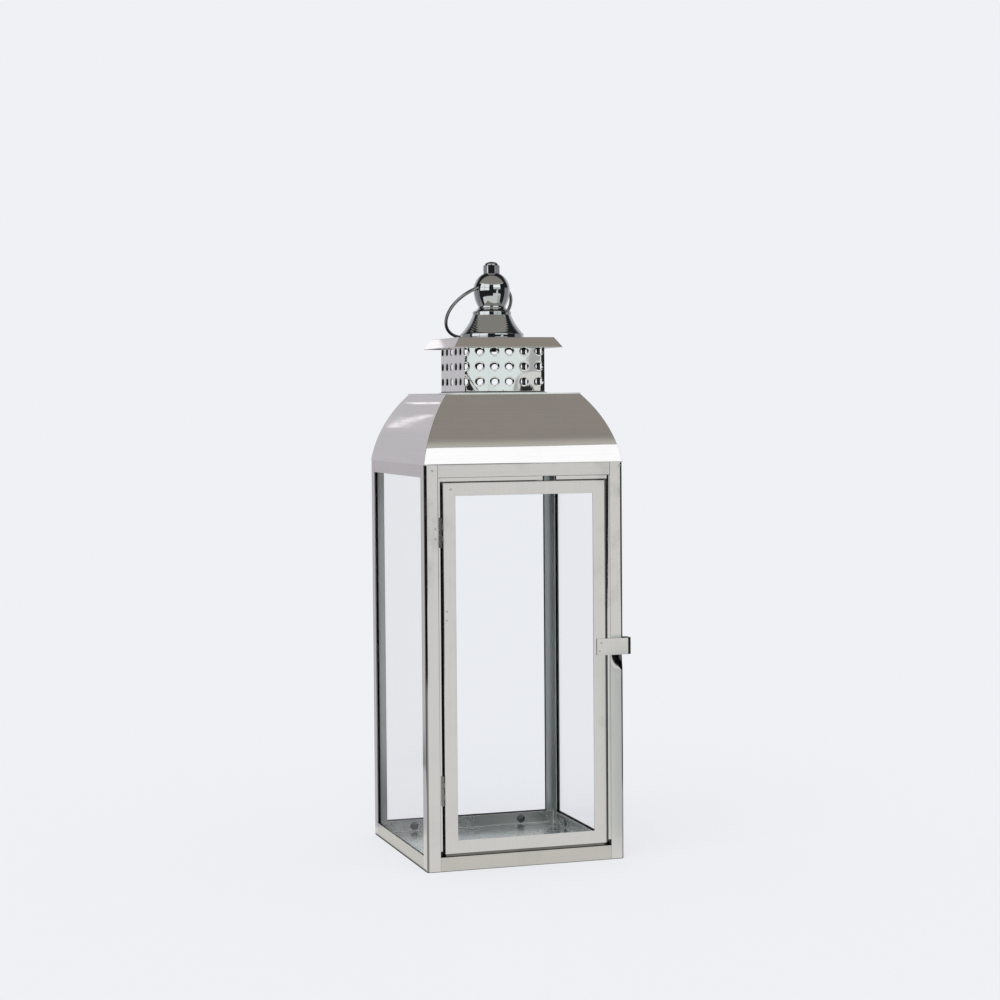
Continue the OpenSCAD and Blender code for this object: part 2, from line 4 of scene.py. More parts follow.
import bmesh
import bpy
import numpy as np
from mathutils import Matrix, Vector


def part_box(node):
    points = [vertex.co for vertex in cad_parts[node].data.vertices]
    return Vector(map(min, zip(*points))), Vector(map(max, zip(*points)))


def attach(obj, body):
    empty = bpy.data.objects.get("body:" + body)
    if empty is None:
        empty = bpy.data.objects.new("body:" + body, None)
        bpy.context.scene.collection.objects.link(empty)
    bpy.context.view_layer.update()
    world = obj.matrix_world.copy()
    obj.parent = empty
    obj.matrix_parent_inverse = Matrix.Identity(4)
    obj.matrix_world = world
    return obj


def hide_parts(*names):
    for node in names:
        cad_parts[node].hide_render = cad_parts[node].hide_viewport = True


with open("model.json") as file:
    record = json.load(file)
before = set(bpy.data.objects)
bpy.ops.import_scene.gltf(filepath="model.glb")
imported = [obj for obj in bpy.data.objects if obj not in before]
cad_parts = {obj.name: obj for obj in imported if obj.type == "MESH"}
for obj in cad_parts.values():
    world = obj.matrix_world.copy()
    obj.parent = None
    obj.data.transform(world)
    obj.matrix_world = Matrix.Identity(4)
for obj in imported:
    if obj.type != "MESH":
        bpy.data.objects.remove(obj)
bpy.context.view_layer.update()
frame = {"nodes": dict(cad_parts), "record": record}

mm = 0.001
mergeReach = 1e-6  # metres
nodes = frame["nodes"]
print("frame loaded:", len(nodes), "nodes")

# camera
shot = dict(
    place=(-0.5941, -1.8723, 0.4064),
    yaw=17.782,  # degrees turned from +Y towards +X
    pitch=2.695,  # degrees looking down
    roll=-0.4346,
    lens=78.62,
    film=36,
    clip=(0.05, 300),
)


def setTraits(thing, traits):
    for trait, value in traits.items():
        setattr(thing, trait, value)


def addObject(name, data):
    thing = bpy.data.objects.new(name, data)
    bpy.context.scene.collection.objects.link(thing)
    return thing


def setCamera():
    data = bpy.data.cameras.new("lanternCamera")
    setTraits(data, {"lens": shot["lens"], "sensor_width": shot["film"], "clip_start": shot["clip"][0],
                     "clip_end": shot["clip"][1]})
    camera = addObject("lanternCamera", data)
    turns = [Matrix.Rotation(math.radians(-shot["yaw"]), 4, "Z"),
             Matrix.Rotation(math.radians(90 - shot["pitch"]), 4, "X"),
             Matrix.Rotation(math.radians(shot["roll"]), 4, "Z")]
    camera.matrix_world = Matrix.Translation(shot["place"]) @ turns[0] @ turns[1] @ turns[2]
    bpy.context.scene.camera = camera


setCamera()


# shader helpers
def seen(red, green, blue):  # a screen colour of 0 to 255 as a linear one with alpha
    screen = np.array([red, green, blue]) / 255
    linear = np.where(screen < 0.04045, screen / 12.92, ((screen + 0.055) / 1.055) ** 2.4)
    return (*map(float, linear), 1.0)


def fillSockets(tree, node, inputs):
    for socket, value in inputs.items():
        if isinstance(value, bpy.types.NodeSocket):
            tree.links.new(value, node.inputs[socket])
        else:
            node.inputs[socket].default_value = value


def addNode(tree, kind, inputs=None, **traits):
    node = tree.nodes.new("ShaderNode" + kind)
    setTraits(node, traits)
    fillSockets(tree, node, inputs or {})
    return node


def addShader(tree, kind, inputs):
    return addNode(tree, kind, inputs).outputs[0]


def treeOf(*values):  # the tree of the first value that is a socket
    return next(value.id_data for value in values if isinstance(value, bpy.types.NodeSocket))


def calc(operation, *values):
    return addNode(treeOf(*values), "Math", dict(enumerate(values)), operation=operation).outputs[0]


def times(first, second):
    return calc("MULTIPLY", first, second)


def plus(first, second):
    return calc("ADD", first, second)


def minus(first, second):
    return calc("SUBTRACT", first, second)


def vectorCalc(operation, *values):
    node = addNode(treeOf(*values), "VectorMath", dict(enumerate(values)), operation=operation)
    return node.outputs["Value" if operation in ("DOT_PRODUCT", "LENGTH") else "Vector"]


def split(vector):
    return addNode(treeOf(vector), "SeparateXYZ", {0: vector}).outputs


def ramp(value, low, high):  # 0 up to low, 1 from high on, smooth between them
    return addNode(treeOf(value), "MapRange", {"Value": value, "From Min": low, "From Max": high},
                   interpolation_type="SMOOTHSTEP").outputs[0]


def mapped(value, low, high, start=0.0, end=1.0):  # start at low, end at high, straight between
    return addNode(treeOf(value), "MapRange", {"Value": value, "From Min": low, "From Max": high,
                                               "To Min": start, "To Max": end}).outputs[0]


def noise(place, scale, detail, roughness=0.5):
    return addNode(treeOf(place), "TexNoise", {"Vector": place, "Scale": scale, "Detail": detail,
                                               "Roughness": roughness}).outputs["Fac"]


def blendColours(share, first, second):
    return addNode(treeOf(share), "Mix", {0: share, 6: first, 7: second}, data_type="RGBA").outputs[2]


def mixShaders(share, first, second):
    return addNode(treeOf(first), "MixShader", {0: share, 1: first, 2: second}).outputs[0]


def newGroup(name, inputs, outputs):
    group = bpy.data.node_groups.new(name, "ShaderNodeTree")
    for way, sockets in (("INPUT", inputs), ("OUTPUT", outputs)):
        for socket, kind in sockets.items():
            group.interface.new_socket(socket, in_out=way, socket_type="NodeSocket" + kind)
    return group, group.nodes.new("NodeGroupInput").outputs, group.nodes.new("NodeGroupOutput").inputs


def useGroup(tree, group, inputs):
    node = tree.nodes.new("ShaderNodeGroup")
    node.node_tree = group
    fillSockets(tree, node, inputs)
    return node.outputs


def newTree(name):
    material = bpy.data.materials.new(name)
    material.use_nodes = True
    material.node_tree.nodes.clear()
    return material, material.node_tree


# studio: pale backdrop, a painted room that only shines in the metal, a floor and a soft sun
studio = dict(
    backdrop=seen(239, 241, 245),
    sky=0.74,  # plain light from all round, which with the sun makes about 1 on the floor
    sun=1,
    sunSpread=50,  # degrees
    sunTilt=(34, 0, -38),
    roomRadius=40,
    roomSteps=(96, 49),
    floorShine=0.03,
    floorShineDull=0.25,
    floorShadow=0.25,  # share of the floor's colour that the lamps make, so that it takes a shadow
    # The rest is the floor that only the metal shows. Pairs are where a change starts and ends.
    tableRadius=(0.45, 1.25),  # of the pale table all round, and in front
    tableFront=(-20, 0, 62, 91, 4, 0),  # patch of directions that is in front
    tableEdge=1.15,  # its soft edge ends at this many radii
    tableColour=seen(213, 212, 209),
    footShade=(0.0905, 0.0935),  # from the middle to the end of the painted shadow under the lantern's foot
    footShadowColour=seen(60, 60, 60),
    footPale=(0.112, 0.13),  # from the middle to the end of the pale rim round that foot
    pathWay=18.5,  # degrees from -Y towards +X of the pale path ahead
    pathHalf=(0.1, 0.4, 0.075),  # its half width at the object, and more for each metre near and far
    pathTurn=(2.3, 2.7),  # metres ahead where near becomes far
    pathShift=0.0285,
    pathEdge=(1.12, 0.97),  # in half widths
    pathStart=(0, 0.05),
    shadeAside=(0.03, 0.058),  # the shaded right side of the path
    shadeSlant=0.035,  # metres aside for each metre ahead
    shadeNear=(0.12, 0.3),
    shadeFar=(1.75, 1.5),
    shadeColour=seen(181, 185, 184),
)

# Each patch of the room: middle azimuth from -Y towards +X, middle elevation, half width, half
# height, softness and slant (degrees up for each degree of azimuth), then the colour it shines with
roomDark = seen(36, 36, 38)
roomPatches = dict(
    backWall=(162.4, -31, 50, 60, 9, 0, seen(193, 190, 194)),
    backSpot=(-175.5, 15.85, 0.28, 0.5, 0.06, 0, (1.12, 1.07, 1.09, 1)),
    backLight=(-172, 12.2, 7, 1.2, 0.7, 0, seen(197, 193, 197)),
    backStreak=(-170.7, 12.95, 1.4, 0.22, 0.18, -1.15, (1.0, 0.96, 0.98, 1)),
    windowLeft=(-64, 14, 31, 20, 1.5, 0, seen(255, 255, 255)),
    windowPost=(-64, 14, 0.7, 20, 0.4, 0, seen(110, 110, 112)),
    windowBar=(-64, 14, 31, 0.7, 0.4, 0, seen(120, 120, 122)),
    whiteBox=(17.5, 21.8, 23.5, 8.2, 0.5, 0, (1.12, 1.12, 1.13, 1)),
    sideCardRight=(95, 3, 20, 6, 3, 0, seen(140, 140, 142)),
    sideCardLeft=(-130, 3, 25, 6, 3, 0, seen(140, 140, 142)),
    paleBoard=(17.5, 8.8, 23.5, 5.4, 0.8, 0, seen(196, 200, 198)),
    boardPost=(17.5, 8.8, 1.6, 5.4, 0.6, 0, seen(120, 122, 122)),
    dimBoard=(22.0, 1.5, 3.6, 1.9, 0.9, 0, seen(168, 168, 168)),
    greyBoard=(18.0, 1.5, 1.75, 1.9, 0.45, 0, seen(222, 230, 228)),
)
# It starts at its elevation, darkens to its edge's top and ends behind the camera at its slope
ceiling = dict(elevation=30.3, softness=0.3, towards=-17.6, slope=(-0.3, -0.1),
               colour=seen(144, 138, 131), edge=seen(184, 181, 173), edgeTop=38)
# The same for the floor, as patches of directions from its middle
floorPatches = dict(
    backFloor=(176, 0, 63, 91, 9, 0, seen(186, 182, 187)),
    sideFloorRight=(95, 0, 20, 91, 3, 0, seen(140, 140, 142)),
    sideFloorLeft=(-130, 0, 25, 91, 3, 0, seen(140, 140, 142)),
)
patchNumbers = ("Azimuth", "Elevation", "Half Width", "Half Height", "Softness", "Slant")


def roomPatchGroup():
    # 1 inside a patch of directions, falling smoothly to 0 over its soft edge
    group, given, result = newGroup(
        "roomPatch", {"Direction": "Vector", **dict.fromkeys(patchNumbers, "Float")}, {"Mask": "Float"})
    axes = split(vectorCalc("NORMALIZE", given["Direction"]))
    azimuth = calc("DEGREES", calc("ARCTAN2", axes[0], times(axes[1], -1.0)))
    elevation = calc("DEGREES", calc("ARCSINE", axes[2]))
    aside = calc("WRAP", minus(azimuth, given["Azimuth"]), 180.0, -180.0)
    above = minus(elevation, plus(given["Elevation"], times(aside, given["Slant"])))
    masks = []
    for distance, half in ((aside, given["Half Width"]), (above, given["Half Height"])):
        masks.append(ramp(calc("ABSOLUTE", distance), plus(half, given["Softness"]),
                          minus(half, given["Softness"])))
    group.links.new(times(*masks), result["Mask"])
    return group


roomPatch = roomPatchGroup()


def patchMask(direction, numbers):
    inputs = {"Direction": direction, **dict(zip(patchNumbers, numbers))}
    return useGroup(treeOf(direction), roomPatch, inputs)["Mask"]


def paintRoom(direction, colour, patches):
    for *numbers, paint in patches:
        colour = blendColours(patchMask(direction, numbers), colour, paint)
    return colour


def paintCeiling(direction, colour):
    unit = vectorCalc("NORMALIZE", direction)
    angle = math.radians(ceiling["towards"])
    towards = vectorCalc("DOT_PRODUCT", unit, (math.sin(angle), -math.cos(angle), 0))
    height = split(unit)[2]
    elevation = calc("DEGREES", calc("ARCSINE", height))
    start, soft = ceiling["elevation"], ceiling["softness"]
    above = ramp(elevation, start - soft, start + soft)
    near = ramp(calc("DIVIDE", towards, calc("MAXIMUM", height, 0.01)), *ceiling["slope"])
    paint = blendColours(ramp(elevation, start, ceiling["edgeTop"]), ceiling["edge"],
                         ceiling["colour"])
    return blendColours(times(above, near), colour, paint)


def lookedShare(tree):  # 1 for what is seen plainly, through glass or in metal
    path = addNode(tree, "LightPath").outputs
    plainOrMetal = calc("MAXIMUM", path["Is Camera Ray"], path["Is Glossy Ray"])
    return calc("MAXIMUM", plainOrMetal, path["Is Transmission Ray"])


def inMetalShare(tree):  # 1 for what metal shows, and 0 for what is seen plainly or through glass
    path = addNode(tree, "LightPath").outputs
    return times(path["Is Glossy Ray"], calc("MINIMUM", path["Glossy Depth"], 1.0))


def makeWorld():
    world = bpy.data.worlds.new("paleStudio")
    world.use_nodes = True
    tree = world.node_tree
    tree.nodes.clear()
    colour = blendColours(lookedShare(tree), (*[studio["sky"]] * 3, 1), studio["backdrop"])
    background = addShader(tree, "Background", {"Color": colour, "Strength": 1.0})
    addNode(tree, "OutputWorld", {"Surface": background}, is_active_output=True)
    bpy.context.scene.world = world


def makeSun():
    data = bpy.data.lights.new("softSun", "SUN")
    data.energy = studio["sun"]
    data.angle = math.radians(studio["sunSpread"])
    sun = addObject("softSun", data)
    sun.rotation_euler = [math.radians(a) for a in studio["sunTilt"]]
    sun.visible_glossy = False  # the room's own lights show in the metal


def gridFaces(rows, columns, closeRows=False, closeColumns=False):
    # quads of a grid of points, row by row, joined round where it closes
    i, j = np.meshgrid(np.arange(rows if closeRows else rows - 1),
                       np.arange(columns if closeColumns else columns - 1), indexing="ij")
    nextI, nextJ = (i + 1) % rows, (j + 1) % columns
    corners = [i * columns + j, nextI * columns + j, nextI * columns + nextJ, i * columns + nextJ]
    return np.stack(corners, -1).reshape(-1, 4)


def stageObject(name, points, faces, material):
    mesh = bpy.data.meshes.new(name)
    mesh.from_pydata(points.tolist(), [], faces.tolist())
    mesh.materials.append(material)
    thing = addObject(name, mesh)
    return thing


def makeRoom():
    # a sphere round everything: radius times the unit direction of azimuth and elevation
    material, tree = newTree("roomPaint")
    direction = addNode(tree, "TexCoord").outputs["Object"]
    wall, *others = roomPatches.values()
    colour = paintCeiling(direction, paintRoom(direction, roomDark, [wall]))
    colour = paintRoom(direction, colour, others)
    colour = blendColours(inMetalShare(tree), studio["backdrop"], colour)
    light = addShader(tree, "Emission", {"Color": colour, "Strength": 1.0})
    addNode(tree, "OutputMaterial", {"Surface": light})
    material.cycles.emission_sampling = "NONE"
    around, up = studio["roomSteps"]
    azimuth, elevation = np.meshgrid(np.linspace(0, 2 * np.pi, around, endpoint=False),
                                     np.linspace(-np.pi / 2, np.pi / 2, up), indexing="ij")
    points = studio["roomRadius"] * np.stack(
        [np.cos(elevation) * np.cos(azimuth), np.cos(elevation) * np.sin(azimuth), np.sin(elevation)], -1)
    faces = gridFaces(around, up, closeRows=True)
    room = stageObject("studioRoom", points.reshape(-1, 3), faces, material)
    for ray in ("camera", "diffuse", "transmission", "volume_scatter", "shadow"):
        setattr(room, "visible_" + ray, False)


def paintFloor(place):
    # a pale table with the room's floor beyond it, the path ahead, and the painted shadow under the
    # lantern's foot in the middle
    pale = studio["tableColour"]
    distance = vectorCalc("LENGTH", place)
    reach = mapped(patchMask(place, studio["tableFront"]), 0.0, 1.0, *studio["tableRadius"])
    beyond = ramp(distance, reach, times(reach, studio["tableEdge"]))
    spread = split(vectorCalc("ABSOLUTE", place))
    fromMiddle = calc("MAXIMUM", spread[0], spread[1])
    around = blendColours(ramp(fromMiddle, *studio["footPale"]), pale,
                          paintRoom(place, pale, [floorPatches["backFloor"]]))
    room = blendColours(beyond, around, paintRoom(place, roomDark, floorPatches.values()))
    way = math.radians(studio["pathWay"])
    aside = vectorCalc("DOT_PRODUCT", place, (math.cos(way), math.sin(way), 0))
    ahead = vectorCalc("DOT_PRODUCT", place, (math.sin(way), -math.cos(way), 0))
    halfHere, *more = studio["pathHalf"]
    more = mapped(ahead, *studio["pathTurn"], *more)
    half = plus(halfHere, times(calc("MAXIMUM", ahead, 0.0), more))
    offPath = calc("DIVIDE", calc("ABSOLUTE", plus(aside, studio["pathShift"])), half)
    onPath = times(ramp(offPath, *studio["pathEdge"]), ramp(ahead, *studio["pathStart"]))
    slanting = minus(aside, times(ahead, studio["shadeSlant"]))
    shade = ramp(slanting, *studio["shadeAside"])
    for limits in ("shadeFar", "shadeNear"):
        shade = times(shade, ramp(distance, *studio[limits]))
    room = blendColours(onPath, room, blendColours(shade, pale, studio["shadeColour"]))
    return blendColours(ramp(fromMiddle, *studio["footShade"]), studio["footShadowColour"], room)


def makeFloor():
    # Seen plainly or through glass it is mostly the backdrop's own colour, and for the rest lit by
    # the lamps, so that a faint shadow stays. Light that falls on it spreads as from any pale floor.
    material, tree = newTree("paleFloor")
    room = paintFloor(addNode(tree, "TexCoord").outputs["Object"])
    matt = addShader(tree, "BsdfDiffuse", {"Color": studio["backdrop"]})
    gloss = addShader(tree, "BsdfGlossy", {"Color": (1, 1, 1, 1), "Roughness": studio["floorShineDull"]})
    lit = mixShaders(studio["floorShine"], matt, gloss)
    plain = addShader(tree, "Emission", {"Color": studio["backdrop"], "Strength": 1.0})
    metal = addShader(tree, "Emission", {"Color": room, "Strength": 1.0})
    shown = mixShaders(times(lookedShare(tree), 1 - studio["floorShadow"]), lit, plain)
    addNode(tree, "OutputMaterial", {"Surface": mixShaders(inMetalShare(tree), shown, metal)})
    material.cycles.emission_sampling = "NONE"
    size = studio["roomRadius"]
    corners = np.array([[-size, -size, 0], [size, -size, 0], [size, size, 0], [-size, size, 0]])
    stageObject("studioFloor", corners, np.array([[0, 1, 2, 3]]), material)


bpy.context.scene.view_settings.view_transform = "Standard"
makeWorld()
makeSun()
makeRoom()
makeFloor()
print("studio made")


# finishes
sheetMarks = dict(
    polishedUnshadedFrom=(0.003, 0.012),  # outwards part of the normal, times the place where it counts
    # a darker tone for the inner side: painted shade in the gaps and hollows
    paintedInnerShade=(0.13, 0.13, 0.125),
    innerDull=0.25,  # more roughness on the inner side
    lineDetail=3,
    lineTone=0.1,
    lineDull=0.12,
    smudgeNoise=(38, 4, 0.6),  # scale, detail and roughness
    smudgeFrom=(0.5, 0.72),
    smudgeTone=0.06,
    smudgeDull=0.1,
    pitScale=260,
    pitReach=(0.11, 0.07),
    pitTone=0.12,
    paintedFoldReflectionFrom=(0.2, 0.38),  # of the normal's X times Y, at a rolled upright corner, where a painted dark reflection darkens the sheet
    # painted dark reflection on the corner that the spring clip has pressed: limits of the normal's X and
    # Y, then X, Y, Z and Z
    paintedClipWedge=((0.03, 0.12), (-0.15, -0.3), (0.07, 0.075), (-0.08, -0.082), (0.1665, 0.168), (0.191, 0.188)),
)


def sheetFinishGroup():
    # Rolled and polished sheet: fine lines along one way, faint smudges and tiny pits, with painted shade
    # on its inner side and painted dark reflections along rolled corners and under the spring clip.
    # Height is in metres, so that it can go straight to a Bump node with a distance of 1.
    marks = sheetMarks
    group, given, result = newGroup(
        "sheetFinish",
        {"Tone": "Color", "Line Scale": "Vector", "Line Depth": "Float", "Smudge": "Float",
         "Roughness": "Float", "Out From": "Vector", "Out Towards": "Vector", "Painted Inner Shade": "Color",
         "Painted Fold Reflection": "Float", "Painted Clip Wedge Tone": "Float"},
        {"Color": "Color", "Roughness": "Float", "Height": "Float"})
    coordinates = addNode(group, "TexCoord").outputs
    place, normal = coordinates["Object"], coordinates["Normal"]
    # the polished side looks away from the object's middle, or towards a given direction; the other side
    # is rougher, and its darker tone is painted shade
    out = vectorCalc("MULTIPLY_ADD", place, given["Out From"], given["Out Towards"])
    polishedUnshaded = ramp(vectorCalc("DOT_PRODUCT", out, normal), *marks["polishedUnshadedFrom"])
    stretched = vectorCalc("MULTIPLY", place, given["Line Scale"])
    lines = minus(noise(stretched, 1.0, marks["lineDetail"]), 0.5)
    clouds = noise(place, *marks["smudgeNoise"])
    smudge = times(ramp(clouds, *marks["smudgeFrom"]), given["Smudge"])
    cells = addNode(group, "TexVoronoi", {"Vector": place, "Scale": marks["pitScale"]})
    pit = mapped(cells.outputs["Distance"], *marks["pitReach"])
    shade = plus(1.0, times(lines, marks["lineTone"]))
    for mark, tone in ((smudge, "smudgeTone"), (pit, "pitTone")):
        shade = minus(shade, times(mark, marks[tone]))
    sides, spots = split(normal), split(place)
    # painted dark reflection along the rolled upright corners
    folded = ramp(calc("ABSOLUTE", times(sides[0], sides[1])), *marks["paintedFoldReflectionFrom"])
    # painted dark reflection in a wedge under the spring clip
    paintedClipWedgeMask = 1.0
    values = (sides[0], sides[1], spots[0], spots[1], spots[2], spots[2])
    for value, limits in zip(values, marks["paintedClipWedge"]):
        paintedClipWedgeMask = times(paintedClipWedgeMask, ramp(value, *limits))
    for mask, tone in ((folded, "Painted Fold Reflection"), (paintedClipWedgeMask, "Painted Clip Wedge Tone")):
        lost = times(mask, minus(1.0, given[tone]))
        shade = times(shade, minus(1.0, lost))
    tone = blendColours(polishedUnshaded, given["Painted Inner Shade"], given["Tone"])
    colour = addNode(group, "VectorMath", {0: tone, "Scale": shade}, operation="SCALE").outputs[0]
    dull = plus(given["Roughness"], times(minus(1.0, polishedUnshaded), marks["innerDull"]))
    dull = plus(dull, times(smudge, marks["smudgeDull"]))
    dull = plus(dull, times(calc("ABSOLUTE", lines), marks["lineDull"]))
    group.links.new(colour, result["Color"])
    group.links.new(dull, result["Roughness"])
    group.links.new(times(lines, given["Line Depth"]), result["Height"])
    return group


sheetFinish = sheetFinishGroup()
upLines, levelLines = (700.0, 700.0, 9.0), (9.0, 9.0, 700.0)  # along posts, along rails
aroundAll = dict(outFrom=(1, 1, 0))  # sheet folded round the upright axis
frontOnly = dict(outTowards=(0, -1, 0))  # sheet whose polished side looks forward
finishes = {
    # its inner tone, fold tone and clip tone darken the sheet as painted shade and painted dark
    # reflections
    "frameSteel": dict(tone=(0.87, 0.868, 0.86), lines=upLines, roughness=0.055,
                       paintedInnerShade=(0.3, 0.31, 0.31), paintedFoldReflection=0.35, paintedClipWedgeTone=0.12, **aroundAll),
    "railSteel": dict(tone=(0.85, 0.847, 0.838), roughness=0.06, **aroundAll),
    # the rail steel made darker and warmer: painted shade near the floor
    "baseRailSteel": dict(tone=(0.745, 0.735, 0.7), roughness=0.09, **aroundAll),
    # its sides take the dark inner tone of painted shade
    "doorSteel": dict(tone=(0.865, 0.863, 0.858), lines=upLines, roughness=0.05, **frontOnly),
    # its nearly black inner tone is painted shade at the clip's bend and back
    "clipSteel": dict(tone=(0.87, 0.868, 0.86), roughness=0.04, paintedInnerShade=(0.1, 0.1, 0.1),
                      outTowards=(-1, -0.09, 0)),
    "roofSteel": dict(tone=(0.87, 0.868, 0.865), roughness=0.02, lineDepth=1.5e-7, smudge=0.35),
    "capSteel": dict(tone=(0.86, 0.855, 0.85), roughness=0.015, lineDepth=1.5e-7, smudge=0.3),
    # its black inner tone is painted shade inside the holes and behind the sheet
    "ventSteel": dict(tone=(0.91, 0.925, 0.92), lines=upLines, roughness=0.03, lineDepth=2e-7,
                      paintedInnerShade=(0.05, 0.05, 0.05), **aroundAll),
    "footSteel": dict(tone=(0.93, 0.93, 0.92), roughness=0.12),
    "panSteel": dict(tone=(0.5, 0.52, 0.505), lines=(8, 500, 8), roughness=0.26),
    "stopSteel": dict(tone=(0.47, 0.5, 0.495), lines=upLines, roughness=0.34, smudge=0.4),
    "stripSteel": dict(tone=(0.72, 0.72, 0.71), lines=upLines, roughness=0.3, smudge=0.6),
    "hingeSteel": dict(tone=(0.3, 0.31, 0.3), roughness=0.22, smudge=0.8),
    "rivetSteel": dict(tone=(0.11, 0.12, 0.12), roughness=0.3, smudge=1),
    # dark grey sheet: painted shade in the gaps beside and below the door
    "jambSteel": dict(tone=(0.24, 0.24, 0.225), roughness=0.3, smudge=1),
    # nearly black sheet: painted shade in gaps and corners
    "gapSteel": dict(tone=(0.11, 0.11, 0.10), roughness=0.4, smudge=1),
    "weldSteel": dict(tone=(0.8, 0.8, 0.78), lines=(60, 60, 60), roughness=0.35, smudge=1),
    "finialChrome": dict(tone=(0.71, 0.75, 0.765), lines=(4, 4, 900), roughness=0.025,
                         lineDepth=3e-7, smudge=0.3),
    "ringSteel": dict(tone=(0.42, 0.42, 0.43), lines=(300, 300, 300), roughness=0.16, smudge=0.8),
}


def makeFinish(name, tone, roughness, lines=levelLines, lineDepth=6e-7, smudge=0.6, outFrom=(0, 0, 0),
               outTowards=(0, 0, 0), paintedInnerShade=None, paintedFoldReflection=1.0, paintedClipWedgeTone=1.0):
    # without a way that is out, the inner tone of painted shade is the tone itself
    material, tree = newTree(name)
    sided = any(outFrom) or any(outTowards)
    inner = paintedInnerShade or (sheetMarks["paintedInnerShade"] if sided else tone)
    finish = useGroup(tree, sheetFinish, {
        "Tone": (*tone, 1), "Line Scale": lines, "Line Depth": lineDepth, "Smudge": smudge,
        "Roughness": roughness if sided else roughness - sheetMarks["innerDull"],
        "Out From": outFrom, "Out Towards": outTowards, "Painted Inner Shade": (*inner, 1),
        "Painted Fold Reflection": paintedFoldReflection, "Painted Clip Wedge Tone": paintedClipWedgeTone})
    bump = addShader(tree, "Bump", {"Height": finish["Height"], "Distance": 1.0, "Strength": 1.0})
    surface = addShader(tree, "BsdfPrincipled", {
        "Base Color": finish["Color"], "Metallic": 1.0, "Roughness": finish["Roughness"],
        "Normal": bump})
    addNode(tree, "OutputMaterial", {"Surface": surface})
    return material


materials = {name: makeFinish(name, **values) for name, values in finishes.items()}

glass = dict(hazeScale=9, hazeDetail=5, hazeFrom=(0.5, 0.8), hazeRoughness=0.004,
             clear=(0.978, 0.98, 0.984, 1), hazy=(0.968, 0.974, 0.974, 1), bend=1.08)


def makeGlass():
    # clear float glass with faint dusty breath marks
    material, tree = newTree("clearGlass")
    place = addNode(tree, "TexCoord").outputs["Object"]
    haze = noise(place, glass["hazeScale"], glass["hazeDetail"])
    surface = addShader(tree, "BsdfPrincipled", {
        "Base Color": blendColours(haze, glass["clear"], glass["hazy"]), "Metallic": 0.0,
        "Roughness": mapped(haze, *glass["hazeFrom"], 0.0, glass["hazeRoughness"]),
        "IOR": glass["bend"], "Transmission Weight": 1.0})
    addNode(tree, "OutputMaterial", {"Surface": surface})
    return material


materials["clearGlass"] = makeGlass()
print("finishes made:", len(materials))


# making pieces
def roundedPath(corners, closed=False, steps=6):
    # corners are (x, y, radius); each is cut back by radius over the tangent of its half angle
    # and replaced by an arc that touches both of its sides
    corners = np.array(corners, float)
    path = []
    for k, (x, y, radius) in enumerate(corners):
        point = np.array([x, y])
        if radius == 0 or (not closed and k in (0, len(corners) - 1)):
            path.append(point[None])
            continue
        back = corners[k - 1][:2] - point
        ahead = corners[(k + 1) % len(corners)][:2] - point
        back, ahead = back / np.linalg.norm(back), ahead / np.linalg.norm(ahead)
        half = math.acos(np.clip(back @ ahead, -1, 1)) / 2
        bisector = (back + ahead) / np.linalg.norm(back + ahead)
        centre = point + bisector * radius / math.sin(half)
        first, last = (point + way * radius / math.tan(half) - centre for way in (back, ahead))
        sweep = math.atan2(first[0] * last[1] - first[1] * last[0], first @ last)
        turn = np.linspace(0, sweep, steps + 1)
        path.append(centre + np.stack([first[0] * np.cos(turn) - first[1] * np.sin(turn),
                                       first[0] * np.sin(turn) + first[1] * np.cos(turn)], -1))
    return np.concatenate(path)


def arcPath(centre, radius, start, end, steps):
    turn = np.radians(np.linspace(start, end, steps + 1))
    return np.array(centre) + radius * np.stack([np.cos(turn), np.sin(turn)], -1)


def bowedPath(low, high, radius, steps, bulge):
    # an arc from low to high; its centre stands off the middle of the chord by the root of the
    # radius squared less half the chord squared, to the left of the way for a bulge of 1
    chord = high - low
    length = np.linalg.norm(chord)
    reach = bulge * math.sqrt(radius ** 2 - (length / 2) ** 2)
    centre = (low + high) / 2 + reach * np.array([-chord[1], chord[0]]) / length
    start, end = (math.degrees(math.atan2(*(p - centre)[::-1])) for p in (low, high))
    end = start + (end - start + 180) % 360 - 180
    return arcPath(centre, radius, start, end, steps), centre, (start, end)


def joinShells(shells):
    points, faces, start = [], [], 0
    for shellPoints, shellFaces in shells:
        points.append(shellPoints)
        faces += [[int(corner) + start for corner in face] for face in shellFaces]
        start += len(shellPoints)
    return np.concatenate(points), faces


def turned(points, degrees):  # about the upright axis
    a = math.radians(degrees)
    turn = np.array([[math.cos(a), -math.sin(a), 0], [math.sin(a), math.cos(a), 0], [0, 0, 1]])
    return points @ turn.T


def spun(profile, steps):
    # closed profile of (radius, height) turned about the upright axis
    angle = np.linspace(0, 2 * np.pi, steps, endpoint=False)
    radius, height = profile[:, 0, None], profile[:, 1, None]
    points = np.stack([radius * np.cos(angle), radius * np.sin(angle), height + 0 * angle], -1)
    return points.reshape(-1, 3), gridFaces(len(profile), steps, True, True)


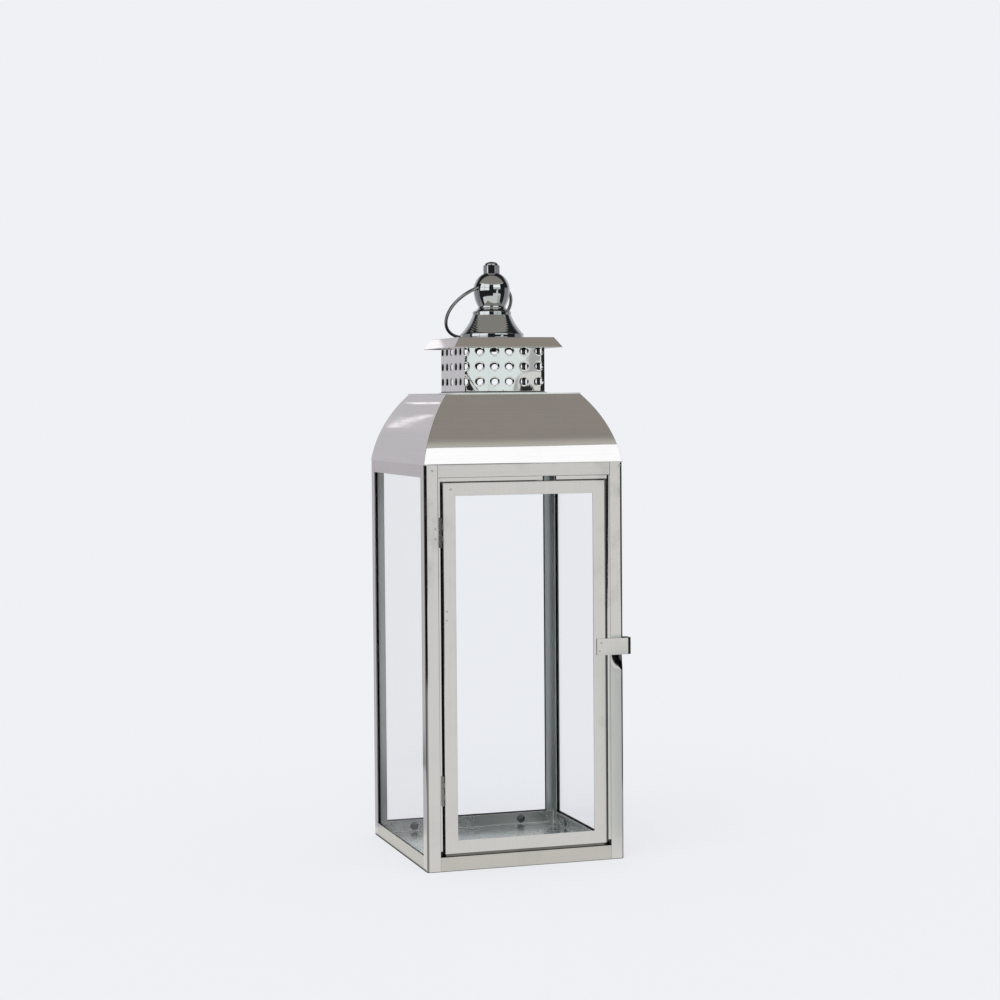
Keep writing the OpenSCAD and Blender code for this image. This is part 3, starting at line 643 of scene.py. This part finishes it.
def squareLoft(profile, cornerRadius, cornerSteps=5):
    # closed profile of (half width, height) carried round a square whose corners are rounded:
    # corner arc centres stand at half width less the radius, and a half width of 0 is a pole
    angle = np.concatenate([np.linspace(k * 90, k * 90 + 90, cornerSteps + 1) for k in range(4)])
    quarter = np.repeat(np.arange(4), cornerSteps + 1) * 90 + 45
    signX, signY = np.sign(np.cos(np.radians(quarter))), np.sign(np.sin(np.radians(quarter)))
    half, height = profile[:, 0, None], profile[:, 1, None]
    radius = np.minimum(cornerRadius, half)
    x = signX * (half - radius) + radius * np.cos(np.radians(angle))
    y = signY * (half - radius) + radius * np.sin(np.radians(angle))
    points = np.stack([x, y, height + 0 * x], -1)
    return points.reshape(-1, 3), gridFaces(len(profile), len(angle), True, True)


def capped(rows, count, faces):  # faces of a bar of this many rows of points, with its two ends
    return faces.tolist() + [list(range(count)), list(range((rows - 1) * count, rows * count))[::-1]]


def foldedBar(profiles, places, axis):
    # closed profiles, one for each place along the axis, joined to a bar with two flat ends
    rows, count = len(places), profiles.shape[1]
    along = np.repeat(np.asarray(places, float), count)
    flat = profiles.reshape(-1, 2)
    points = np.insert(flat, axis, along, axis=1)
    return points, capped(rows, count, gridFaces(rows, count, False, True))


def barBox(low, high):
    # eight corners and six faces of a straight bar between two opposite corners
    corners = np.array([[low[0], low[1]], [high[0], low[1]], [high[0], high[1]], [low[0], high[1]]])
    return foldedBar(np.repeat(corners[None], 2, 0), (low[2], high[2]), 2)


def mitredFrame(profile, x0, x1, z0, z1):
    # closed profile of (way in from the outline, place along Y) carried round an upright rectangle
    inset, depth = profile[:, 0], profile[:, 1]
    left, right, bottom, top = x0 + inset, x1 - inset, z0 + inset, z1 - inset
    corners = [np.stack([x, depth, z], -1) for x, z in (
        (left, bottom), (right, bottom), (right, top), (left, top))]
    return np.concatenate(corners), gridFaces(4, len(profile), True, True)


def cleanMesh(name, points, faces):  # points in millimetres
    mesh = bpy.data.meshes.new(name)
    mesh.from_pydata((np.asarray(points) * mm).tolist(), [], [list(map(int, face)) for face in faces])
    solid = bmesh.new()
    solid.from_mesh(mesh)
    bmesh.ops.remove_doubles(solid, verts=solid.verts, dist=mergeReach)
    bmesh.ops.dissolve_degenerate(solid, edges=solid.edges, dist=mergeReach / 10)
    bmesh.ops.recalc_face_normals(solid, faces=solid.faces)
    solid.to_mesh(mesh)
    solid.free()
    return mesh


def modify(piece, name, kind, **traits):
    setTraits(piece.modifiers.new(name, kind), traits)


def finishPiece(name, points, faces, material, slot, replaced, body="lantern", bevel=None,
                sharpAngle=32, weighted=True):
    mesh = cleanMesh(name, points, faces)
    return dressMesh(name, mesh, material, body, replaced, bevel, sharpAngle, weighted)


def dressMesh(name, mesh, material, body, replaced, bevel, sharpAngle, weighted):
    mesh.materials.clear()
    mesh.materials.append(materials[material])
    mesh.polygons.foreach_set("use_smooth", np.ones(len(mesh.polygons), bool))
    mesh.set_sharp_from_angle(angle=math.radians(sharpAngle))
    piece = addObject(name, mesh)
    if bevel:
        modify(piece, "softEdges", "BEVEL", width=bevel * mm, segments=2, limit_method="ANGLE",
               angle_limit=math.radians(40), harden_normals=False)
    if weighted:
        modify(piece, "evenNormals", "WEIGHTED_NORMAL", keep_sharp=bevel is None)
    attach(piece, body)
    if replaced:
        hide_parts(*replaced)
    return piece


def edgedCopy(node, material, bevel):
    # the same solid with its loose triangles merged and its sharp edges eased
    solid = bmesh.new()
    solid.from_mesh(nodes[node].data)
    bmesh.ops.remove_doubles(solid, verts=solid.verts, dist=mergeReach)
    bmesh.ops.dissolve_limit(solid, angle_limit=math.radians(0.5), verts=solid.verts, edges=solid.edges)
    mesh = bpy.data.meshes.new(node + "_edged")
    solid.to_mesh(mesh)
    solid.free()
    for layer in ("custom_normal", "sharp_edge", "sharp_face"):
        if layer in mesh.attributes:
            mesh.attributes.remove(mesh.attributes[layer])
    bodies = frame["record"]["behaviour"]["bodies"]
    body = next(name for name, members in bodies.items() if node in members)
    return dressMesh(node + "_edged", mesh, material, body, [node], bevel, 40, True)


sideNames = ("front", "right", "back", "left")
cornerNames = ("front_left", "front_right", "back_right", "back_left")

edgedNodes = {
    "railSteel": ("frame_steel", 0.14, ["top_rail_" + s for s in sideNames]),
    # bottom rails take the darker rail steel as painted shade near the floor
    "baseRailSteel": ("frame_steel", 0.14, ["bottom_rail_" + s for s in sideNames]),
    "stopSteel": ("inner_steel", 0.12, ["glass_stop_" + c for c in cornerNames] + ["door_glass_tabs"]),
    "clipSteel": ("door_steel", 0.14, ["latch_clip"]),
}
for material, (slot, bevel, members) in edgedNodes.items():
    for member in members:
        edgedCopy(member, material, bevel)

# corner posts: angles with a rolled outer corner, pressed back where the spring clip sits
post = dict(edge=90, leg=12, sheet=1, height=349, bend=2.4, dentSlope=0.25, dentReach=(2.6, 10.8),
            dentRise=(167, 182), dentFade=(187, 193), dentStart=0.1, easedEdge=0.2,
            easedEnd=(0.12, 0.25), levelsBelow=(20, 160, 4), levelsAbove=(200, 260))


def makePosts():
    # an angle at each level; the corner is pressed in by the slope times the dent's reach from it,
    # which grows up to the clip, and by less and less above it
    edge, leg, sheet, ease = post["edge"], post["leg"], post["sheet"], post["easedEdge"]
    bend, height, (endTrim, endRise) = post["bend"], post["height"], post["easedEnd"]
    levels = np.concatenate([
        [0, endRise], np.linspace(*post["levelsBelow"]), np.linspace(*post["dentRise"], 12),
        np.linspace(*post["dentFade"], 5), post["levelsAbove"], [height - endRise, height]])
    dentLow = post["dentRise"][0]
    for k, corner in enumerate(("front_right", "back_right", "back_left", "front_left")):
        profiles = []
        for z in levels:
            reach = np.interp(z, post["dentRise"], post["dentReach"])
            pressed = post["dentSlope"] * reach * np.interp(z, post["dentFade"], (1, 0))
            pressed *= (k == 0) * np.interp(z, (dentLow - post["dentStart"], dentLow), (0, 1))
            trim = endTrim if z in (levels[0], levels[-1]) else 0
            profiles.append(roundedPath([
                (edge - trim, -edge + trim + pressed, bend), (edge - reach, -edge + trim, 0),
                (edge - leg, -edge + trim, ease), (edge - leg, -edge + sheet, ease),
                (edge - sheet, -edge + sheet + pressed, bend - sheet), (edge - sheet, -edge + leg, ease),
                (edge - trim, -edge + leg, ease)], closed=True))
        points, faces = foldedBar(np.array(profiles), levels, 2)
        finishPiece("rolled_post_" + corner, turned(points, 90 * k), faces, "frameSteel", "frame_steel",
                    ["post_" + corner], sharpAngle=40)


makePosts()

# door frame: one strip folded back at its outer edge and mitred at the corners
door = dict(face=11.4, sheet=0.8, bend=0.7, innerBend=0.1, easedEdge=0.18)


def makeDoorFrame():
    low, high = np.array(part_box("door_stile_left")) / mm
    right = np.array(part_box("door_stile_right"))[1, 0] / mm
    front, back, face, sheet = low[1], high[1], door["face"], door["sheet"]
    ease = door["easedEdge"]
    profile = roundedPath([
        (0, front, door["bend"]), (face, front, ease), (face, front + sheet, ease),
        (sheet, front + sheet, door["innerBend"]), (sheet, back, ease), (0, back, ease)],
        closed=True, steps=5)
    frameMesh = mitredFrame(profile, low[0], right, low[2], high[2])
    members = ["door_stile_left", "door_stile_right", "door_rail_top", "door_rail_bottom"]
    finishPiece("folded_door_frame", *frameMesh, "doorSteel", "door_steel", members, "door", sharpAngle=36)


makeDoorFrame()

# strips behind, beside and level with the door's gaps, each from a low corner to a high one; the dark ones
# are painted shade in the gaps
stopStrips = {
    "stripSteel": [((73, -82.1, 0.9), (85, -81.3, 347.9)), ((-77.5, -82.1, 331.6), (19.3, -81.3, 347.9)),
                   ((31.7, -82.1, 331.6), (73, -81.3, 347.9))],
    "gapSteel": [((-78, -82.1, 0.9), (72.8, -81.3, 17)), ((-78, -82.1, 17), (-71, -81.3, 331.6))],
    "frameSteel": [((-78, -90, 17.8), (-76.3, -89.2, 338.2)), ((75.2, -90, 17.8), (78, -89.2, 338.2)),
                   ((-76.3, -90, 335), (16.3, -89.2, 338.2)), ((28.6, -90, 335), (75.2, -89.2, 338.2))],
    # dark grey fillers of painted shade in the gaps right of and below the door
    "jambSteel": [((72.6, -88.7, 17.2), (75.2, -87.9, 335)), ((-73, -88.7, 12.8), (71.5, -87.9, 16.6))],
}
for material, ends in stopStrips.items():
    slot = "frame_steel" if material == "frameSteel" else "inner_steel"
    strips = joinShells([barBox(*pair) for pair in ends])
    finishPiece("strip_" + material, *strips, material, slot, [], bevel=0.12)

# spot welds: shallow round marks on the posts, the door and the clip
welds = dict(
    radius=1.1, rise=0.06, rim=0.04, behind=0.1,
    frame=[(-82.7, -90, 344.2), (87.2, -90, 346.4), (-80.3, -90, 294.8), (-80.3, -90, 286)],
    door=[(-66.6, -90.3, 328.2), (-70.8, -90.3, 223.7), (-71, -90.3, 216.2)],
    clip=[(69.1, -91.1, 191.4), (67.6, -91.1, 184.2)],
)


def makeWelds():
    # a dome of rise times the cosine of a quarter turn, on a low rim, closed behind
    radius, rise, rim, behind = (welds[size] for size in ("radius", "rise", "rim", "behind"))
    share = np.linspace(0, 1, 6)[::-1]
    outline = np.stack([radius * share, rise * np.cos(share * np.pi / 2) + rim], -1)
    outline = np.concatenate([[[0, -behind], [radius, -behind]], outline])
    points, faces = spun(outline, 20)
    points = points[:, [0, 2, 1]] * [1, -1, 1]
    for body, slot, places in (("lantern", "frame_steel", welds["frame"]),
                               ("door", "door_steel", welds["door"] + welds["clip"])):
        marks = joinShells([(points + place, faces) for place in places])
        finishPiece("weld_marks_" + body, *marks, "weldSteel", slot, [], body, sharpAngle=50,
                    weighted=False)


makeWelds()
print("frame and door dressed")

plainNodes = {
    "clearGlass": ["glass_right", "glass_back", "glass_left", "door_glass"],
    "roofSteel": ["roof_top_plate"],
    "rivetSteel": ["pan_rivets"],
    "hingeSteel": ["upper_hinge_frame_leaf", "lower_hinge_frame_leaf", "upper_hinge_door_leaf",
                   "lower_hinge_door_leaf", "upper_hinge_pin", "lower_hinge_pin"],
    "stopSteel": ["finial_rod", "inner_nut", "inner_washer"],
    "ringSteel": ["ring_handle"],
}
for material, members in plainNodes.items():
    for member in members:
        nodes[member].data.materials.clear()
        nodes[member].data.materials.append(materials[material])

# base pan: a square tray folded up at its rim
pan = dict(half=86, rim=11.7, sheet=0.8, fold=1.6, cornerRadius=1.8)


def makePan():
    half, sheet, fold = pan["half"], pan["sheet"], pan["fold"]
    outline = roundedPath([
        (0, 0, 0), (half, 0, fold), (half, pan["rim"], 0.3), (half - sheet, pan["rim"], 0.3),
        (half - sheet, sheet, fold - sheet), (0, sheet, 0)])
    tray = squareLoft(outline, pan["cornerRadius"])
    finishPiece("folded_pan", *tray, "panSteel", "pan_steel", ["base_pan"])


makePan()

# roof: four bowed sheets that meet at the hips
roof = dict(low=349, high=409, halfLow=90, halfHigh=61.5, bow=115, sheet=1, hipGap=0.06,
            arcSteps=40, acrossSteps=24, dish=0.05)


def makeRoof():
    low, high = np.array([roof["halfLow"], roof["low"]]), np.array([roof["halfHigh"], roof["high"]])
    outer, centre, turn = bowedPath(low, high, roof["bow"], roof["arcSteps"], 1)
    inner = arcPath(centre, roof["bow"] - roof["sheet"], *turn, roof["arcSteps"])
    # points of the closed outline (out, up), spread across from hip to hip by out times t
    outline = np.concatenate([outer, inner[::-1]])
    t = np.linspace(-1, 1, roof["acrossSteps"] + 1)[:, None]
    out, up = outline[None, :, 0], outline[None, :, 1]
    along = (up - roof["low"]) / (roof["high"] - roof["low"])
    dish = roof["dish"] * (1 - t ** 2) ** 2 * np.sin(np.pi * np.clip(along, 0, 1)) ** 2
    points = np.stack([t * (out - roof["hipGap"]), -(out - dish) + 0 * t, up + 0 * t], -1)
    count = len(outline)
    faces = capped(len(t), count, gridFaces(len(t), count, False, True))
    for k, side in enumerate(sideNames):
        finishPiece("bowed_roof_" + side, turned(points.reshape(-1, 3), 90 * k), faces, "roofSteel",
                    "roof_steel", ["roof_panel_" + side], bevel=0.2, sharpAngle=40)


makeRoof()
print("pan and roof made")

# rain cap: a flat top whose sides slope out to a lip
cap = dict(low=450, high=459.1, halfLip=50, halfTop=43.7, sheet=0.9, cornerRadius=0.5, fold=0.7)


def makeCap():
    # a sloping side is as wide, measured level, as its sheet times the root of 1 plus slope squared
    sheet, high, low = cap["sheet"], cap["high"], cap["low"]
    slope = (cap["halfLip"] - cap["halfTop"]) / (high - low)
    side = sheet * math.sqrt(1 + slope ** 2)
    innerTop = cap["halfTop"] + slope * sheet - side
    outline = roundedPath([
        (0, high, 0), (cap["halfTop"], high, cap["fold"]), (cap["halfLip"], low, 0.3),
        (cap["halfLip"] - side, low, 0.3), (innerTop, high - sheet, 0.3), (0, high - sheet, 0)])
    sheetCap = squareLoft(outline, cap["cornerRadius"])
    finishPiece("folded_cap", *sheetCap, "capSteel", "cap_steel", ["rain_cap"])


makeCap()

# vent: one strip with punched rows of holes, folded round four corners
vent = dict(width=73.8, low=410, high=458.2, sheet=0.8, holeRadius=3.1, pitch=13.8,
            starts=(-0.3, 8.1, 9.1, 4.6), counts=(6, 5, 5, 5), rows=(420.2, 433.6, 447), edgeSteps=8,
            lipDepth=0.35, lipReach=1.3, cornerClear=4, nearRings=(0, 0.15, 0.35, 0.6, 0.95, 1.4),
            farRings=(0.3, 0.65, 1), footHalf=38.7, footSheet=0.8, shadeLine=(410.8, 411.7),
            cornerRadius=0.6)

# dents of the front sheet: depth, then where along and how high up each one starts and ends
ventDents = dict(corner=0.9, cornerReach=(14, 21), side=0.8, sideFrom=36, sideReach=38, sideLean=0.4,
                 lower=0.5, lowerAlong=(44, 66), lowerRise=(19, 2))


def ventTileEdges(middles, total):
    # edges between holes: half way, or at a fold that stands clear of both holes
    before = np.roll(middles, 1)
    before[0] -= total
    edges = (before + middles) / 2
    for n, (a, b) in enumerate(zip(before, middles)):
        fold = math.floor(b / vent["width"]) * vent["width"]
        if a + vent["cornerClear"] < fold < b - vent["cornerClear"]:
            edges[n] = fold
    return np.append(edges, edges[0] + total)


def ventTile(left, right, low, high, x, z):
    # rings from the hole's circle out to the tile's edge, along rays to even steps of that edge
    steps = vent["edgeSteps"]
    fold = round(x / vent["width"]) * vent["width"]
    if left < fold < right:
        across = np.concatenate([np.linspace(left, fold, steps // 2 + 1),
                                 np.linspace(fold, right, steps // 2 + 1)[1:]])
    else:
        across = np.linspace(left, right, steps + 1)
    up = np.linspace(low, high, steps + 1)
    rim = np.concatenate([
        np.insert(across[:-1, None], 1, low, axis=1), np.insert(up[:-1, None], 0, right, axis=1),
        np.insert(across[:0:-1, None], 1, high, axis=1), np.insert(up[:0:-1, None], 0, left, axis=1)])
    ray = rim - [x, z]
    length = np.linalg.norm(ray, axis=1)
    nearRings = np.array(vent["nearRings"])[:, None] + vent["holeRadius"]
    farRings = nearRings[-1] + (length - nearRings[-1]) * np.array(vent["farRings"])[:, None]
    radius = np.concatenate([nearRings + 0 * length, farRings])
    flat = np.array([x, z]) + ray / length[:, None] * radius[..., None]
    away = np.clip((radius - vent["holeRadius"]) / vent["lipReach"], 0, 1)
    depth = vent["lipDepth"] * (1 - away) ** 2
    points = np.concatenate([flat, depth[..., None]], -1)
    points[..., 2] += ventDent(points[..., 0], points[..., 1])
    return points.reshape(-1, 3), gridFaces(*radius.shape, False, True)


def smoothStep(value, low, high):
    t = np.clip((value - low) / (high - low), 0, 1)
    return t * t * (3 - 2 * t)


def ventDent(along, z):
    # the front sheet is pulled in a little at its lower left corner, and towards its right end
    dents, width, rise = ventDents, vent["width"], z - vent["low"]
    front = (along >= -0.01) & (along <= width + 0.01)
    acrossCorner, upCorner = dents["cornerReach"]
    corner = np.clip(1 - along / acrossCorner - rise / upCorner, 0, 1) ** 2 * dents["corner"]
    lean = along - dents["sideLean"] * rise - dents["sideFrom"]
    side = np.clip(lean / dents["sideReach"], 0, 1) ** 2 * dents["side"]
    lower = dents["lower"] * smoothStep(along, *dents["lowerAlong"])
    lower = lower * smoothStep(rise, *dents["lowerRise"])
    fade = smoothStep(along, width + 0.02, width - 3)
    return np.where(front, corner * smoothStep(along, -0.5, 0.8) + (side + lower) * fade, 0)


def foldStrip(strip):
    # distance along the strip becomes a side and a place on it; depth goes inwards
    width = vent["width"]
    side = np.floor(strip[:, 0] / width)
    place = strip[:, 0] - side * width - width / 2
    out = width / 2 - strip[:, 2]
    angle = side * np.pi / 2
    x = place * np.cos(angle) + out * np.sin(angle)
    y = place * np.sin(angle) - out * np.cos(angle)
    return np.stack([x, y, strip[:, 1]], -1)


def makeVent():
    width, sheet, foot, low = vent["width"], vent["sheet"], vent["footHalf"], vent["low"]
    middles = np.concatenate([k * width + start + vent["pitch"] * np.arange(count)
                              for k, (start, count) in enumerate(zip(vent["starts"], vent["counts"]))])
    edges = ventTileEdges(middles, 4 * width)
    rows = vent["rows"]
    levels = [low] + [(a + b) / 2 for a, b in zip(rows, rows[1:])] + [vent["high"]]
    strip, faces = joinShells([ventTile(edges[n], edges[n + 1], levels[r], levels[r + 1], x, z)
                               for r, z in enumerate(rows) for n, x in enumerate(middles)])
    piece = finishPiece("punched_vent", foldStrip(strip), faces, "ventSteel", "vent_steel", ["vent_box"],
                        sharpAngle=50, weighted=False)
    modify(piece, "sheet", "SOLIDIFY", thickness=sheet * mm, offset=-1)
    modify(piece, "evenNormals", "WEIGHTED_NORMAL", keep_sharp=True)
    half, top = width / 2, low + vent["footSheet"]
    shadeLineLow, shadeLineHigh = vent["shadeLine"]
    # the foot's flange, and a dark strip of painted shade in the corner above it
    for name, material, outline in (
            ("vent_foot", "footSteel", [(half - sheet, low, 0.1), (foot, low, 0.2), (foot, top, 0.25),
                                        (half - sheet, top, 0.1)]),
            ("vent_shade_line", "gapSteel", [(half - 0.1, shadeLineLow, 0), (half + 0.35, shadeLineLow, 0),
                                       (half + 0.12, shadeLineHigh, 0), (half - 0.1, shadeLineHigh, 0)])):
        loft = squareLoft(roundedPath(outline, closed=True, steps=3), vent["cornerRadius"])
        finishPiece(name, *loft, material, "vent_steel", [])


makeVent()
print("cap and vent made")

# finial: spun bell, spun bulb and cap nut
bell = dict(steps=128, arcSteps=60, foot=459.1, height=24.2, radius=28.3, footHeight=4, rimRadius=17.2,
            rimHeight=3.4, hollow=52, sheet=1, ripple=0.035, ripplePitch=2.1, hole=4.05)


def makeBell():
    base, top = bell["foot"], bell["foot"] + bell["height"]
    low = np.array([bell["radius"] - 0.3, base + bell["footHeight"]])
    high = np.array([bell["rimRadius"], top - bell["rimHeight"]])
    side = bowedPath(low, high, bell["hollow"], bell["arcSteps"], -1)[0]
    # turning marks: shallow rings in the hollow side, fading out at both ends
    along = np.linspace(0, 1, len(side))
    ripple = bell["ripple"] * np.sin(2 * np.pi * (side[:, 1] - base) / bell["ripplePitch"])
    side[:, 0] += ripple * np.sin(np.pi * along) ** 0.5
    sheet = bell["sheet"]
    inner = side[::-1] - [sheet, sheet / 2]
    foot = roundedPath([(bell["radius"] - sheet, base, 0), (bell["radius"], base, 0.3),
                        (bell["radius"], base + bell["footHeight"], 0.9), tuple(side[3]) + (0,)])
    rim = roundedPath([tuple(side[-2]) + (0,), (bell["rimRadius"], top - bell["rimHeight"], 0.35),
                       (bell["rimRadius"], top, 0.7), (bell["hole"], top, 0),
                       (bell["hole"], top - sheet, 0), (bell["rimRadius"] - sheet, top - sheet, 0.3)])
    outline = np.concatenate([foot[:-1], side[3:-2], rim[:-1], inner[1:]])
    finishPiece("spun_bell", *spun(outline, bell["steps"]), "finialChrome", "finial_chrome",
                ["finial_bell"], weighted=False, sharpAngle=48)


makeBell()

bulb = dict(steps=128, foot=483.3, radius=16.2, middle=19.2, waist=4.2, taper=30, footCurve=3,
            seat=7.3, sheet=1, hole=4.05, ringHole=2.5, ringHoleSteps=32, boreHalf=30,
            ringHoleRise=1.5, ringTurn=19)


def makeBulb():
    base, middle = bulb["foot"], bulb["foot"] + bulb["middle"]
    taperCentre = (bulb["radius"] - bulb["taper"], middle)
    drop = bulb["middle"] - bulb["waist"]
    waistRadius = taperCentre[0] + math.sqrt(bulb["taper"] ** 2 - drop ** 2)
    waistAngle = -math.degrees(math.asin(drop / bulb["taper"]))
    flare = arcPath((waistRadius + bulb["footCurve"], base + bulb["waist"]), bulb["footCurve"],
                    270, 180 + waistAngle / 2, 10)
    taper = arcPath(taperCentre, bulb["taper"], waistAngle, 0, 40)
    seatAngle = math.degrees(math.acos(bulb["seat"] / bulb["radius"]))
    top = arcPath((0, middle), bulb["radius"], 0, seatAngle, 40)
    sheet = bulb["sheet"]
    holeAngle = math.degrees(math.acos(bulb["hole"] / (bulb["radius"] - sheet)))
    innerTop = arcPath((0, middle), bulb["radius"] - sheet, holeAngle, 0, 12)
    innerTaper = arcPath(taperCentre, bulb["taper"] - sheet, 0, waistAngle, 12)
    seatHeight = middle + bulb["radius"] * math.sin(math.radians(seatAngle))
    outline = np.concatenate([flare, taper, top[1:], [[bulb["hole"], seatHeight]], innerTop,
                              innerTaper[1:], [[waistRadius - sheet, base]]])
    piece = finishPiece("spun_bulb", *spun(outline, bulb["steps"]), "finialChrome", "finial_chrome",
                        ["finial_bulb"], weighted=False, sharpAngle=48)
    # the ring's two holes, cut by a rod across the bulb
    around = bulb["ringHoleSteps"]
    angle = np.linspace(0, 2 * np.pi, around, endpoint=False)
    circle = bulb["ringHole"] * np.stack([np.cos(angle), np.sin(angle)], -1)
    rod, faces = foldedBar(np.repeat(circle[None], 2, 0), (-bulb["boreHalf"], bulb["boreHalf"]), 0)
    rod = turned(rod, bulb["ringTurn"]) + [0, 0, middle + bulb["ringHoleRise"]]
    cutter = addObject("ringBore", cleanMesh("ringBore", rod, faces))
    modify(piece, "ringHoles", "BOOLEAN", operation="DIFFERENCE", solver="EXACT", object=cutter)
    bpy.context.view_layer.update()
    finished = bpy.data.meshes.new_from_object(piece.evaluated_get(bpy.context.evaluated_depsgraph_get()))
    piece.modifiers.clear()
    piece.data = finished
    finished.set_sharp_from_angle(angle=math.radians(48))
    bpy.data.objects.remove(cutter)


makeBulb()

nut = dict(steps=144, base=516.96, flats=13, height=7.8, dome=2.9, turn=12, chamfer=0.9,
           cornerEase=0.25, blend=0.05, lowChamfer=0.55)


def makeCapNut():
    # radius at an angle: the hexagon's flat over the cosine from its middle, eased at the corners,
    # and never more than the chamfer cone lets through; a dome closes the top
    angle = np.linspace(0, 2 * np.pi, nut["steps"], endpoint=False)
    fromFlat = (np.degrees(angle) - nut["turn"] + 30) % 60 - 30
    hexagon = nut["flats"] / 2 / np.cos(np.radians(fromFlat))
    corner = nut["flats"] / 2 / math.cos(math.radians(30))
    ease = nut["blend"]
    body = -ease * np.log(np.exp(-hexagon / ease) + np.exp(-(corner - nut["cornerEase"]) / ease))
    height = nut["height"]
    domeHalf = nut["flats"] / 2 - nut["chamfer"] / 2
    chamfer = nut["chamfer"]
    levels = np.concatenate([[0], np.linspace(0.05, chamfer, 6), np.linspace(1.2, height - chamfer, 14),
                             height - chamfer * (1 - np.linspace(0.15, 1, 8))])
    below = np.clip(chamfer * nut["lowChamfer"] - levels, 0, None)
    above = np.clip(levels - height + chamfer, 0, None)
    cone = corner - below - above * (corner - domeHalf) / chamfer
    sides = -ease * np.log(np.exp(-body / ease) + np.exp(-cone[:, None] / ease))
    domeTurn = np.linspace(0, np.pi / 2, 16)[1:, None]
    dome = domeHalf * np.cos(domeTurn) + 0 * angle
    radius = np.concatenate([0 * angle[None], sides, dome])
    z = np.concatenate([[0], levels, height + nut["dome"] * np.sin(domeTurn[:, 0])])[:, None]
    points = np.stack([radius * np.cos(angle), radius * np.sin(angle), nut["base"] + z + 0 * radius], -1)
    finishPiece("cap_nut_polished", points.reshape(-1, 3), gridFaces(len(z), len(angle), False, True),
                "finialChrome", "finial_chrome", ["cap_nut"], weighted=False, sharpAngle=40)


makeCapNut()
print("finial made")
